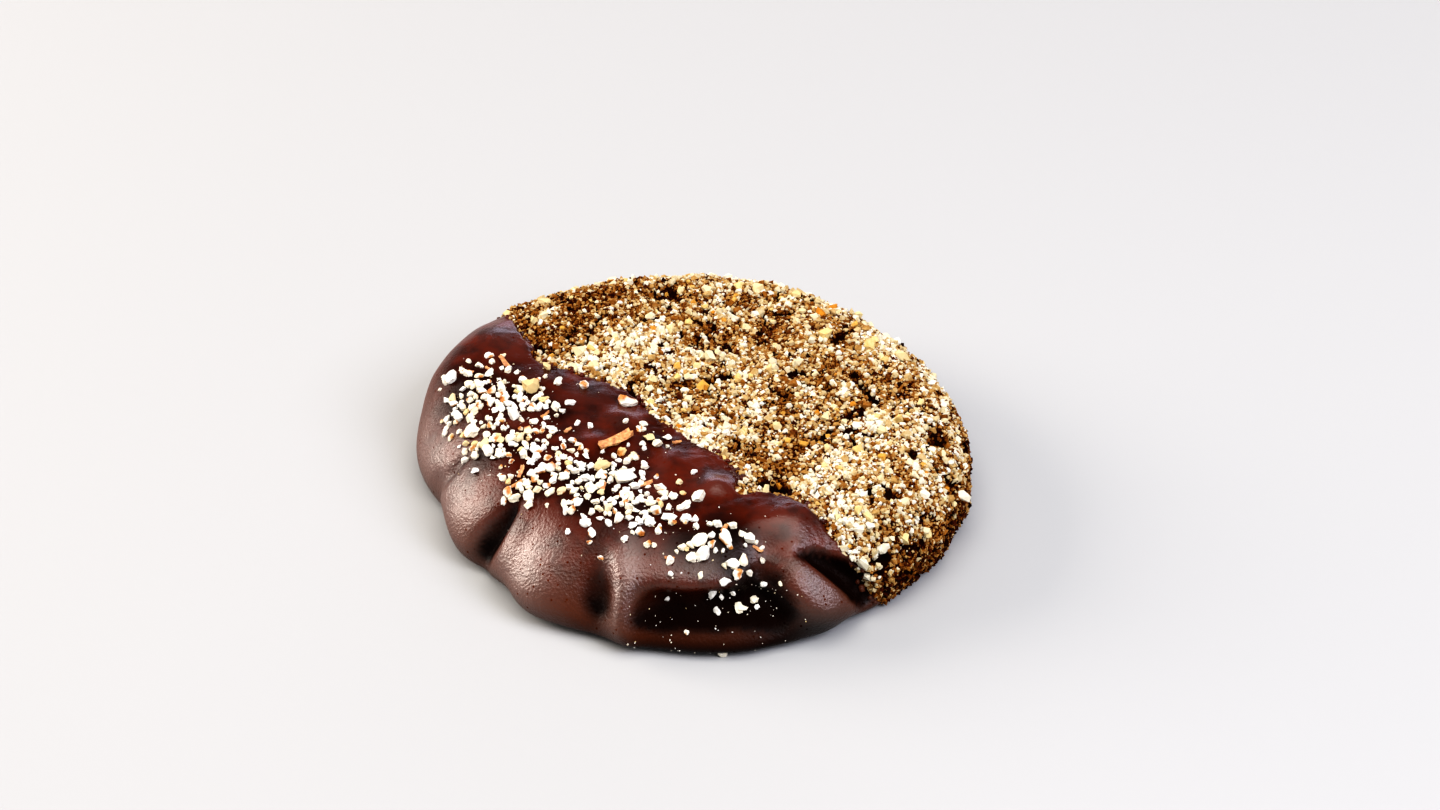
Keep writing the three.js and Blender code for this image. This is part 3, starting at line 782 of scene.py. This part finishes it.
# Patches of the bare top: along, into, half-width, and how much paler or more toasted they are
tonePatches = [
    (38, 3, 9, -0.6), (33.5, -9.5, 8, -0.6), (23, 3, 5, 0.45), (20, -5, 6, 0.25),
    (13.7, 3.3, 6, 0.42), (11, -16.5, 4, -0.3), (16, -11, 5, 0.3), (7, -3.5, 4.5, -0.35),
    (3.8, 1.5, 4, -0.3), (2.5, -8.5, 4.5, 0.3), (6.7, -21.3, 5, -0.5), (18.5, -27.5, 5, -0.35),
    (28.5, -20, 4, -0.35), (-6.5, -19, 4, 0.3), (0, -29, 6, -0.4), (-2, -14, 4, -0.2),
    (-11, -24, 5, -0.6), (-6, 4, 5, 0.6), (-16.5, 5, 3, 0.4), (-8, -3.5, 5, 0.2),
    (-13, -8.5, 4, -0.4), (-17.5, -13.5, 5.5, 0.05), (-26, -23, 5, 0.35), (-19, 1, 5, -0.7),
    (-24, -5, 4, -0.2), (-28, -5, 6, 0.3), (-30, -12, 6, 0.35), (-37, -3, 6, 0.5),
    (-33.5, 2, 3.5, -0.35), (-24, -32, 6, -0.3), (-45.5, 3.5, 4, 0.95), (-43.4, -13.2, 3, -0.4),
]

# Tones between the patches: noises with size and change, and how much painted shade darkens the steep wall
crumbTones = {"noises": [(8, 0.45), (3.6, 0.6)], "wallShade": 0.95, "wallSlopes": (-0.62, 0.1)}


def paleness(points, up):
    pale = humpRise(tonePatches, points)
    pale += sum(
        change * noiseAt(points, size, seed)
        for seed, (size, change) in enumerate(crumbTones["noises"], noiseSeeds["pale"])
    )
    # painted shade: the steep and downward-facing crumb is made darker and browner
    return pale - crumbTones["wallShade"] * smoothstep(-up, *crumbTones["wallSlopes"])


def makeGrains(name):
    kind, rules = grainKinds[name], grainRules
    draw = np.random.default_rng(kind["seed"])
    points, normals, up, depth = onForm(evenDirections(kind["count"], rules["scatter"], draw))
    kept = (depth < rules["dipRoom"]) & (up > rules["lowest"])
    points, normals, up, depth = points[kept], normals[kept], up[kept], depth[kept]
    relief = biscuitRelief(points, up, depth)
    pale = paleness(points, up)
    chance = kind["share"] + kind["patchy"] * pale
    cranny = crannyAt(points, up) > rules["crannyFree"]
    kept = (draw.uniform(size=len(points)) < chance) & ~cranny
    points, normals, pale, relief = points[kept], normals[kept], pale[kept], relief[kept]

    count = len(points)
    sizes = np.minimum(kind["median"] * np.exp(draw.normal(0, kind["spread"], count)), kind["largest"])
    lift = kind["lift"] + draw.uniform(-rules["liftSpread"], rules["liftSpread"], count)
    places = points + normals * (relief + sizes * lift)[:, None]
    # painted shade: grains lying in hollows of the relief get darker
    hollowShade = smoothstep(-relief, *rules["shadedHollows"])
    middle, patchTone, variety = kind["tone"]
    tone = middle + patchTone * pale - rules["hollowShadeDark"] * hollowShade + draw.normal(0, variety, count)
    shapes = [chipShape(kind["faces"], rules["chipJitter"], draw) for _ in range(rules["chips"])]
    turns = randomTurns(count, draw)
    pick = draw.integers(0, len(shapes), count)
    mesh = joinChips(name, shapes, places, turns, sizes, {"tone": np.clip(tone, 0, 1)}, pick)
    return newPiece(name, mesh, nutGrain(name, kind["shades"]), "biscuit")


# Chocolate coat
coat = {
    "subdivisions": 7,
    "edgeRise": 0.3,  # height over the crumb at the dip line
    "rim": 0.8,  # and farther in
    "rimFade": (0.5, 7),
    "sunk": 1.3,  # the hidden edge lies this far below
    "edgeRoll": (-0.5, 1.1),  # start and width of its rounding
    "edgeHidden": -1.2,
    "fineEdge": (-2, 3),  # depths past the dip line between which the mesh is fine
    "wall": 1.1,
    # along, into, half-width, rise
    "humps": [
        (36, 12, 5, 0.9), (22, 13, 3, 0.4), (12.5, 9, 4, 0.5), (5, 11, 2.8, 0.9),
        (3, 19.5, 2.6, 0.6), (-10, 12, 5, 0.6), (-19.5, 11.5, 2.8, 1.2), (-33.0, 8.0, 5, 1.0),
        (-35.5, 14.5, 4.5, -1.6),
    ],
    "waves": [(9, 0.16), (4, 0.08)],  # size, rise
    "edgeWaves": [(5, 0.8), (1.8, 0.8), (0.9, 0.5)],  # size, shift
    "almondShade": 1.5,  # painted shade darkens the chocolate around the almonds, this many times their spread
    "almondShadeDark": 0.85,
    "foot": (0.5, 6),  # heights between which the foot gets painted shade
    "footShade": 0.65,
    "wallSlopes": (0.3, 0.98),  # between which the top becomes wall
    "dentDepths": (0.6, 2.4),  # between which dents get painted shade
    "dentNoise": (3.5, 0.4),  # size, change
    # depths between which folds get painted shade
    "foldDepths": (0.2, 1.6),
    # painted shade on the wall: direction, height, half-width in degrees, half-height, change
    "shadeSpots": [
        (-65, 5, 9, 3.2, 0.7), (-85, 2, 24, 4, 0.45), (-77, 9, 5, 3.5, 0.5),
    ],
    # painted shade on the top: along, into, half-width, change
    "topShade": [
        (26, 14, 5, 0.45), (12, 9, 5, 0.55), (-27, 16.5, 4, 0.5), (-27, 7.5, 2.6, 0.45),
    ],
    "shine": (0.1, 0.19),  # of top and wall
    "shineReach": (0.05, 1),
    "dull": (0.9, 0.7),  # shine lost with the painted shade in dents and around the almonds
    # direction, height, half-width in degrees, half-height, change
    "shineSpots": [
        (-178, 7.5, 12, 5.5, 0.56), (-158, 8.5, 15, 6, 0.64), (-129.5, 9, 9.5, 5.5, 0.95),
        (-145, 14.5, 32, 2.5, -0.2), (-107, 10, 4, 6, 0.95), (-64, 9, 8.5, 5, 0.4),
        (-92, 13, 22, 2.4, 0.42), (-88, 4, 24, 5, -0.25),
    ],
    # along, into, half-width, change
    "topShine": [
        (36, 10, 5, 0.4), (14.5, 10.5, 3, 0.2), (5, 11, 3, 0.2), (-18.5, 11.5, 3, 0.5),
        (-33, 9, 5, 0.28), (-26.5, 8, 3, -0.2), (-26, 16.5, 4, -0.3), (-35, 13, 3, -0.2),
    ],
}


def coatLooks(points, up, fold):
    # how steep, how dark with painted shade, and how shiny the chocolate is at these points
    angle = np.arctan2(points[:, 1], points[:, 0])
    height = points[:, 2]
    top = np.maximum(up, 0)
    wall = 1 - smoothstep(up, *coat["wallSlopes"])
    size, change = coat["dentNoise"]
    depth = wallDent(angle, height) + change * noiseAt(points, size, noiseSeeds["dents"])
    # painted shade in dents and folds
    dent = wall * smoothstep(depth, *coat["dentDepths"])
    dent = np.maximum(dent, smoothstep(fold, *coat["foldDepths"]))
    # painted shade of the contact with the floor, darker towards the bottom
    foot = 1 - smoothstep(height, *coat["foot"])
    nearNuts = [(along, into, coat["almondShade"] * spread, 1) for along, into, spread, _ in almonds["handfuls"]]
    almondShade = np.minimum(humpRise(nearNuts, points), 1)
    shade = wallSpots(coat["shadeSpots"], angle, height) + top * humpRise(coat["topShade"], points)
    topShine, wallShine = coat["shine"]
    shine = topShine + (wallShine - topShine) * wall + wallSpots(coat["shineSpots"], angle, height)
    shine += top * humpRise(coat["topShine"], points)
    dentDull, almondShadeDull = coat["dull"]
    return {
        "wall": wall,
        # dark: painted shade from dents, folds, spots, the foot and the almonds' surroundings
        "dark": np.clip(dent + shade + coat["footShade"] * foot + coat["almondShadeDark"] * almondShade, 0, 1),
        "shine": np.clip(shine, *coat["shineReach"]) * (1 - dentDull * dent) * (1 - almondShadeDull * almondShade),
    }


def makeCoat():
    first, last = coat["fineEdge"]

    def nearEdge(directions):
        depth = onForm(directions)[3]
        return (depth > first) & (depth < last)

    shape = fineBall(coat["subdivisions"], nearEdge)
    directions = ballDirections(shape)
    points, normals, up, depth = onForm(directions)
    fold = pathDepth(onForm(directions, False)[0], folds)
    for seed, (size, shift) in enumerate(coat["edgeWaves"], noiseSeeds["coatEdge"]):
        depth = depth + shift * noiseAt(points, size, seed)
    start, width = coat["edgeRoll"]
    rolled = np.sqrt(1 - (1 - np.clip((depth - start) / width, 0, 1)) ** 2)
    rise = coat["edgeRise"] + (coat["rim"] - coat["edgeRise"]) * smoothstep(depth, *coat["rimFade"])
    offset = -coat["sunk"] + (rise * aboveBase(up) + coat["sunk"]) * rolled
    offset += rolled * humpRise(coat["humps"], points) * np.maximum(up, 0)
    for seed, (size, high) in enumerate(coat["waves"], noiseSeeds["coatWaves"]):
        offset += rolled * aboveBase(up) * high * noiseAt(points, size, seed)
    points += normals * offset[:, None]
    points[:, 2] = np.maximum(points[:, 2], 0)
    moveVerts(shape, points)

    # only the dipped side is kept, and gets an inner wall
    for name, values in coatLooks(points, up, fold).items():
        layer = shape.verts.layers.float.new(name)
        for vert, value in zip(shape.verts, values):
            vert[layer] = value
    bare = [vert for vert, past in zip(shape.verts, depth) if past < coat["edgeHidden"]]
    bmesh.ops.delete(shape, geom=bare, context="VERTS")
    bmesh.ops.solidify(shape, geom=shape.faces[:], thickness=coat["wall"] * mm)
    mesh = toMesh("chocolateCoat", shape)
    shadeSmooth(mesh)
    return newPiece("chocolateCoat", mesh, darkChocolate(), "chocolate_coat")


# Crumbs along the edge that the chocolate has run over
coatedCrumbs = {
    "seed": 17,
    "count": 42000,
    "scatter": 0.3,
    "reach": (-0.9, 1.3),  # depths past the dip line
    "lowest": -0.3,  # slope
    "share": 0.16,
    "thicker": (-20, 4, 0.6),  # along, half-width, more of them there on the top
    "flat": 0.7,  # slope that counts as top
    "sizes": (0.5, 1.2),
    "sunk": 0.5,  # they stand on this share of the chocolate's edge
    "lift": 0.05,
    "chips": 8,
    "chipJitter": 0.3,
}


def makeCoatedCrumbs(material):
    looks = coatedCrumbs
    draw = np.random.default_rng(looks["seed"])
    points, normals, up, depth = onForm(evenDirections(looks["count"], looks["scatter"], draw))
    middle, wide, more = looks["thicker"]
    chance = looks["share"] + more * bump(toDip(points)[0] - middle, wide) * (up > looks["flat"])
    first, last = looks["reach"]
    mine = (depth > first) & (depth < last) & (up > looks["lowest"])
    mine = mine & (draw.uniform(size=len(points)) < chance)
    points, normals, up = points[mine], normals[mine], up[mine]
    sizes = draw.uniform(*looks["sizes"], len(points))
    places = points + normals * (coat["edgeRise"] * looks["sunk"] + looks["lift"] * sizes)[:, None]
    shapes = [chipShape(20, looks["chipJitter"], draw) for _ in range(looks["chips"])]
    values = coatLooks(points, up, np.zeros(len(points)))
    pick = draw.integers(0, len(shapes), len(points))
    turns = randomTurns(len(points), draw)
    mesh = joinChips("coatedCrumbs", shapes, places, turns, sizes, values, pick)
    shadeSmooth(mesh)
    return newPiece("coatedCrumbs", mesh, material, "chocolate_coat")


# Chopped almonds
almonds = {
    "seed": 2719,
    # along, into, size
    "large": [
        (21.9, 17.6, 3.5), (-8.1, 21.3, 3.4), (7.7, 7.6, 3.0), (17.4, 24.6, 2.6), (-3.0, 22.2, 2.8),
        (-6.3, 27.7, 2.4), (-20.2, 16.2, 2.4), (-20.5, 23.3, 2.6), (-29.6, 23.4, 2.8),
        (-27.4, 22.7, 2.6), (-29.6, 19.0, 2.4), (-31.8, 15.8, 2.2), (13.9, 32.8, 2.6),
        (20.3, 31.0, 2.6), (24.7, 11.4, 2.0), (16.4, 10.3, 2.0), (1.9, 29.3, 2.2),
        (-33.2, 20.7, 2.0), (34.0, 24.5, 2.4), (-2.5, 11.6, 2.0), (0.3, 35.2, 2.2),
        (-1.0, 36.0, 1.8), (-12.3, 28.9, 2.2), (-11.6, 32.9, 2.0), (-18.1, 23.8, 2.0),
    ],
    # along, into, spread, share
    "handfuls": [
        (31.1, 23.2, 3.2, 0.06), (27.9, 26.8, 3.0, 0.07), (20.9, 21.0, 3.4, 0.12),
        (13.3, 18.4, 2.2, 0.03), (14.8, 33.1, 2.4, 0.05), (9.8, 28.4, 2.8, 0.07),
        (3.1, 34.4, 2.2, 0.05), (-1.1, 27.7, 3.2, 0.1), (-4.6, 21.9, 2.8, 0.07),
        (-9.3, 29.0, 3.2, 0.09), (-16.8, 25.2, 3.6, 0.13), (-26.8, 23.6, 2.4, 0.06),
        (-30.2, 18.1, 2.4, 0.04), (-33.9, 21.0, 1.8, 0.02), (-2.6, 10.5, 2.2, 0.04),
    ],
    # looser handfuls of small ones, listed in the same way
    "fillers": [
        (24.5, 25.5, 4.5, 0.4), (20.0, 30.0, 3.0, 0.2), (-12.0, 23.0, 4.0, 0.2),
        (8.0, 26.0, 4.0, 0.2),
    ],
    "fillerShare": 0.3,
    "solidCount": 105,  # the first ones are those of the solid
    "count": 420,
    "sizes": (2.1, 1.5, 0.8),  # at the start, at the end of the solid's and at the last one
    "edgeRoom": 3,
    "dipRoom": 2.5,
    "spacing": (0.8, 0.62),  # of the solid's and of the others, as a share of two pieces' mean size
    "lift": 0.15,  # a piece's middle stands this share of its size above the chocolate
    # direction, height, size
    "wallBits": [
        (-85.8, 9.0, 1.7), (-83.5, 8.2, 1.1), (-80.2, 6.5, 1.8), (-96, 7.5, 0.9), (-91.5, 4.5, 1.0),
        (-84, 0.8, 1.6), (-81.1, 9.2, 0.9), (-73.7, 9.5, 1.1), (-70.5, 10.5, 0.8), (-73, 12.9, 1.1),
        (-77.3, 12.0, 1.3), (-80.1, 12.4, 1.9), (-83.2, 12.0, 1.7), (-80.5, 13.4, 1.5),
    ],
    # along, into, length, direction it points in
    "flakes": [
        (0.5, 16.7, 6.2, 36), (30.2, 16.3, 2.6, -50), (20.5, 31.1, 2.6, 20), (5.3, 32.8, 2.4, 70),
        (4.1, 34.6, 2.0, 10), (14.0, 20.6, 1.8, 40), (32.4, 22.4, 2.0, -20), (-11.4, 20.0, 2.2, 15),
        (-7.5, 25.9, 2.0, 80), (-6.8, 31.9, 1.6, 30), (-28.3, 17.9, 2.0, 60),
        (-33.5, 15.4, 1.8, -30), (-26.1, 27.7, 1.6, 0), (8.3, 20.4, 1.6, 45), (-6.1, 8.8, 1.6, 20),
        (30.8, 19.5, 1.6, -60),
    ],
    "wallDust": (75, (-104, -66), (1, 10)),  # count, directions, heights
    "topDust": {"count": 260, "spread": 1.5, "dipRoom": 1, "farthest": 42},
    "dustSize": (0.16, 0.36),
    "shapes": {"plain": 14, "skinned": 6, "flake": 4, "dust": 4},
    "skinShare": 0.28,
    "lean": 0.25,
    "tone": (0.6, 0.34),  # middle, variety
    "steepest": 0.64,  # almonds slide off steeper chocolate, as upward part of its normal
}


drawFactor, drawModulus = 16807, 2147483647  # give the same draws as in the solids


def seededDraws(seed):
    state = seed
    while True:
        state = state * drawFactor % drawModulus
        yield state / drawModulus


def pickHandful(handfuls, value):
    reached = np.cumsum([share for _, _, _, share in handfuls])
    return handfuls[np.searchsorted(reached, value, side="right") % len(handfuls)]


def topDepth(x, y):
    # depth past the dip line of a place on the top
    return dipDepth(np.array([[x, y, form["thickness"]]]))[0]


def almondPlaces():
    draws = seededDraws(almonds["seed"])
    places = [(*fromDip(along, into), size) for along, into, size in almonds["large"]]
    solid = almonds["solidCount"]
    while len(places) < almonds["count"]:
        done = len(places)
        loose = done >= solid and next(draws) < almonds["fillerShare"]
        along, into, spread, _ = pickHandful(almonds["fillers" if loose else "handfuls"], next(draws))
        reach = spread * math.sqrt(-2 * math.log(next(draws)))
        turn = 2 * math.pi * next(draws)
        x, y = fromDip(along + reach * math.cos(turn), into + reach * math.sin(turn))
        size = np.interp(done, (0, solid, almonds["count"]), almonds["sizes"])
        spacing = almonds["spacing"][0 if done < solid else 1]
        outline = outlineRadius(np.array([math.atan2(y, x)]))[0]
        inside = math.hypot(x, y) < outline - almonds["edgeRoom"]
        dipped = topDepth(x, y) > almonds["dipRoom"]
        clear = all(
            math.hypot(x - otherX, y - otherY) > spacing * (size + otherSize) / 2
            for otherX, otherY, otherSize in places
        )
        if inside and dipped and clear:
            places.append((x, y, size))
    return places


# Shape of a chopped almond about 1 across: a ball cut flat on many sides, with skin on the first cuts
almondCuts = {
    "cuts": 8,
    "reach": (0.3, 0.5),  # of the cuts from the middle
    "glancing": 0.2,
    "roundest": 0.66,
    "roughness": 0.18,
    "skinned": 2,
    "sizes": [(0.95, 0.75, 0.65), (1.35, 1.05, 0.9)],  # smallest, largest
}


def almondShape(draw, skinned=False):
    # corners, triangles, and how much skin is on each corner
    look = almondCuts
    chunk = bmesh.new()
    bmesh.ops.create_icosphere(chunk, subdivisions=2, radius=1)
    unit, triangles = asArrays(chunk)
    unit = unit / np.linalg.norm(unit, axis=1)[:, None]
    cuts = draw.normal(size=(look["cuts"], 3))
    cuts = cuts / np.linalg.norm(cuts, axis=1)[:, None]
    reaches = draw.uniform(*look["reach"], look["cuts"]) / np.maximum(unit @ cuts.T, look["glancing"])
    reach = np.minimum(reaches.min(axis=1), look["roundest"])
    reach = reach * (1 + look["roughness"] * draw.uniform(-1, 1, len(unit)))
    skin = (reaches.argmin(axis=1) < look["skinned"]) * 1.0 if skinned else np.zeros(len(unit))
    points = unit * reach[:, None]
    points = points / np.ptp(points, axis=0) * draw.uniform(*look["sizes"])
    return points, triangles, skin


def skinnedShape(draw):
    return almondShape(draw, True)


# Shape of a flake of skin about 1 long
flakeLooks = {"wide": 0.36, "taper": 1.6, "thick": 0.12, "jitter": 0.055, "bend": 0.25, "skin": 0.9}


def flakeShape(draw):
    look = flakeLooks
    flake = bmesh.new()
    bmesh.ops.create_grid(flake, x_segments=4, y_segments=2, size=0.5)
    bmesh.ops.solidify(flake, geom=flake.faces[:], thickness=look["thick"])
    bmesh.ops.triangulate(flake, faces=flake.faces[:])
    points, triangles = asArrays(flake)
    points[:, 1] *= look["wide"] * (1 - look["taper"] * points[:, 0] ** 2)
    points += draw.uniform(-look["jitter"], look["jitter"], points.shape)
    points[:, 2] += look["bend"] * points[:, 0] ** 2
    return points, triangles, np.full(len(points), look["skin"])


def turnsTo(normals, spins, draw, lean):
    # turns that lay a chip's flat side on the surface and spin it
    turns = []
    for normal, angle in zip(normals, spins):
        up = Vector(normal) + Vector(draw.normal(0, lean, 3))
        turn = Vector((0, 0, 1)).rotation_difference(up).to_matrix()
        turns.append(turn @ Matrix.Rotation(angle, 3, "Z"))
    return np.array(turns)


def onCoat(coatTree, start, way):
    # point and normal where a straight line meets the chocolate, in millimetres
    origin = (Vector(start) + Vector(form["planShift"])) * mm
    place, normal, _, _ = coatTree.ray_cast(origin, Vector(way))
    return np.array(place) / mm - form["planShift"], np.array(normal)


rayStarts = {"top": 50, "wall": 80}  # millimetres from the middle, outside the cookie


def onTop(coatTree, x, y):
    return onCoat(coatTree, (x, y, rayStarts["top"]), (0, 0, -1))


def onWall(coatTree, deg, height):
    turn = math.radians(deg)
    out = Vector((math.cos(turn), math.sin(turn), 0))
    return onCoat(coatTree, out * rayStarts["wall"] + Vector((0, 0, height)), -out)


def dustShape(draw):
    points, triangles = chipShape(8, grainRules["chipJitter"], draw)
    return points, triangles, np.zeros(len(points))


def makeAlmonds(coatPiece):
    coatTree = BVHTree.FromObject(coatPiece, bpy.context.evaluated_depsgraph_get())
    draw = np.random.default_rng(almonds["seed"])
    found, sizes, kinds, spins = [], [], [], []

    def add(spot, size, kind, deg=None):
        found.append(spot)
        sizes.append(size)
        kinds.append(kind)
        spins.append(draw.uniform(0, 2 * math.pi) if deg is None else math.radians(deg))

    for x, y, size in almondPlaces():
        spot = onTop(coatTree, x, y)
        if spot[1][2] > almonds["steepest"]:
            add(spot, size, "lump")
    for deg, height, size in almonds["wallBits"]:
        add(onWall(coatTree, deg, height), size, "lump")
    for along, into, size, deg in almonds["flakes"]:
        add(onTop(coatTree, *fromDip(along, into)), size, "flake", deg)
    count, turnReach, heightReach = almonds["wallDust"]
    for deg, height in zip(draw.uniform(*turnReach, count), draw.uniform(*heightReach, count)):
        add(onWall(coatTree, deg, height), draw.uniform(*almonds["dustSize"]), "dust")
    dust = almonds["topDust"]
    for along, into, spread, share in almonds["handfuls"]:
        reach = dust["spread"] * spread
        for _ in range(round(share * dust["count"])):
            x, y = fromDip(along + draw.normal(0, reach), into + draw.normal(0, reach))
            if topDepth(x, y) > dust["dipRoom"] and math.hypot(x, y) < dust["farthest"]:
                add(onTop(coatTree, x, y), draw.uniform(*almonds["dustSize"]), "dust")

    makers = {"plain": almondShape, "skinned": skinnedShape, "flake": flakeShape, "dust": dustShape}
    shapes, numbers = [], {}
    for kind, count in almonds["shapes"].items():
        numbers[kind] = (len(shapes), len(shapes) + count)
        shapes += [makers[kind](draw) for _ in range(count)]
    pick = []
    for kind in kinds:
        if kind == "lump":
            kind = "skinned" if draw.uniform() < almonds["skinShare"] else "plain"
        pick.append(draw.integers(*numbers[kind]))
    sizes = np.array(sizes)
    normals = np.array([normal for _, normal in found])
    places = np.array([place for place, _ in found]) + normals * (sizes * almonds["lift"])[:, None]
    turns = turnsTo(normals, spins, draw, almonds["lean"])
    values = {"tone": np.clip(draw.normal(*almonds["tone"], len(sizes)), 0, 1)}
    skins = {"skin": [skin for _, _, skin in shapes]}
    chips = [shape[:2] for shape in shapes]
    mesh = joinChips("choppedAlmonds", chips, places, turns, sizes, values, np.array(pick), skins)
    return newPiece("choppedAlmonds", mesh, choppedAlmond(), "chocolate_coat")


# Stage, lights and camera
stageLooks = {
    "floor": "#b7b7b5",
    "floorSize": 6.0,
    "floorRoughness": 0.9,
    "world": "#f7f5fa",
    "worldStrength": 0.24,
}

lights = [
    # name, direction and height in degrees, distance, size, power, colour
    ("leftSoftbox", 163, 22, 1.0, (0.6, 0.55), 8.0, "#fff6ee"),
    ("rightSoftbox", -32, 42, 1.0, (0.5, 0.55), 5.8, "#eceeff"),
    ("backStrip", 80, 13, 1.0, (0.8, 0.16), 1.1, "#e4e6ff"),
    ("overhead", -90, 78, 1.2, (1.2, 1.2), 10.0, "#fffdfa"),
]

photoCamera = {
    "place": (0, -472.8, 369.4),  # millimetres from the outline's centre
    "aim": (4.884, 22.374, 0),
    "lens": 87.47,
    "sensor": 36,
    "nearest": 0.01,
}


def makeStage():
    floor = bmesh.new()
    bmesh.ops.create_grid(floor, x_segments=1, y_segments=1, size=stageLooks["floorSize"] / 2)
    piece = addObject("floor", toMesh("floor", floor))
    material, add = newMaterial("palePlaster")
    dull = {"Base Color": colour(stageLooks["floor"]), "Roughness": stageLooks["floorRoughness"]}
    add("OutputMaterial", links={"Surface": add("BsdfPrincipled", dull)})
    piece.data.materials.append(material)


def makeLights():
    for name, deg, high, distance, size, power, hexCode in lights:
        data = bpy.data.lights.new(name, "AREA")
        data.shape = "RECTANGLE"
        data.size, data.size_y = size
        data.energy = power
        data.color = colour(hexCode)[:3]
        lamp = addObject(name, data)
        turn, rise = math.radians(deg), math.radians(high)
        flat = distance * math.cos(rise)
        lamp.location = (flat * math.cos(turn), flat * math.sin(turn), distance * math.sin(rise))
        lamp.rotation_euler = (-lamp.location).to_track_quat("-Z", "Y").to_euler()
    world = bpy.data.worlds.new("studio")
    world.use_nodes = True
    background = world.node_tree.nodes["Background"]
    background.inputs["Color"].default_value = colour(stageLooks["world"])
    background.inputs["Strength"].default_value = stageLooks["worldStrength"]
    bpy.context.scene.world = world


def makeCamera():
    data = bpy.data.cameras.new("photoCamera")
    data.lens = photoCamera["lens"]
    data.sensor_width = photoCamera["sensor"]
    data.clip_start = photoCamera["nearest"]
    camera = addObject("photoCamera", data)
    shift = Vector(form["planShift"])
    place = (Vector(photoCamera["place"]) + shift) * mm
    aim = (Vector(photoCamera["aim"]) + shift) * mm
    camera.location = place
    camera.rotation_euler = (aim - place).to_track_quat("-Z", "Y").to_euler()
    bpy.context.scene.camera = camera


makeCamera()
makeStage()
makeLights()
bpy.context.scene.view_settings.view_transform = "Standard"
bpy.context.scene.view_settings.look = "High Contrast"
print("stage set")

makeBiscuit()
for grainName in grainKinds:
    makeGrains(grainName)
coatPiece = makeCoat()
makeCoatedCrumbs(coatPiece.data.materials[0])
makeAlmonds(coatPiece)
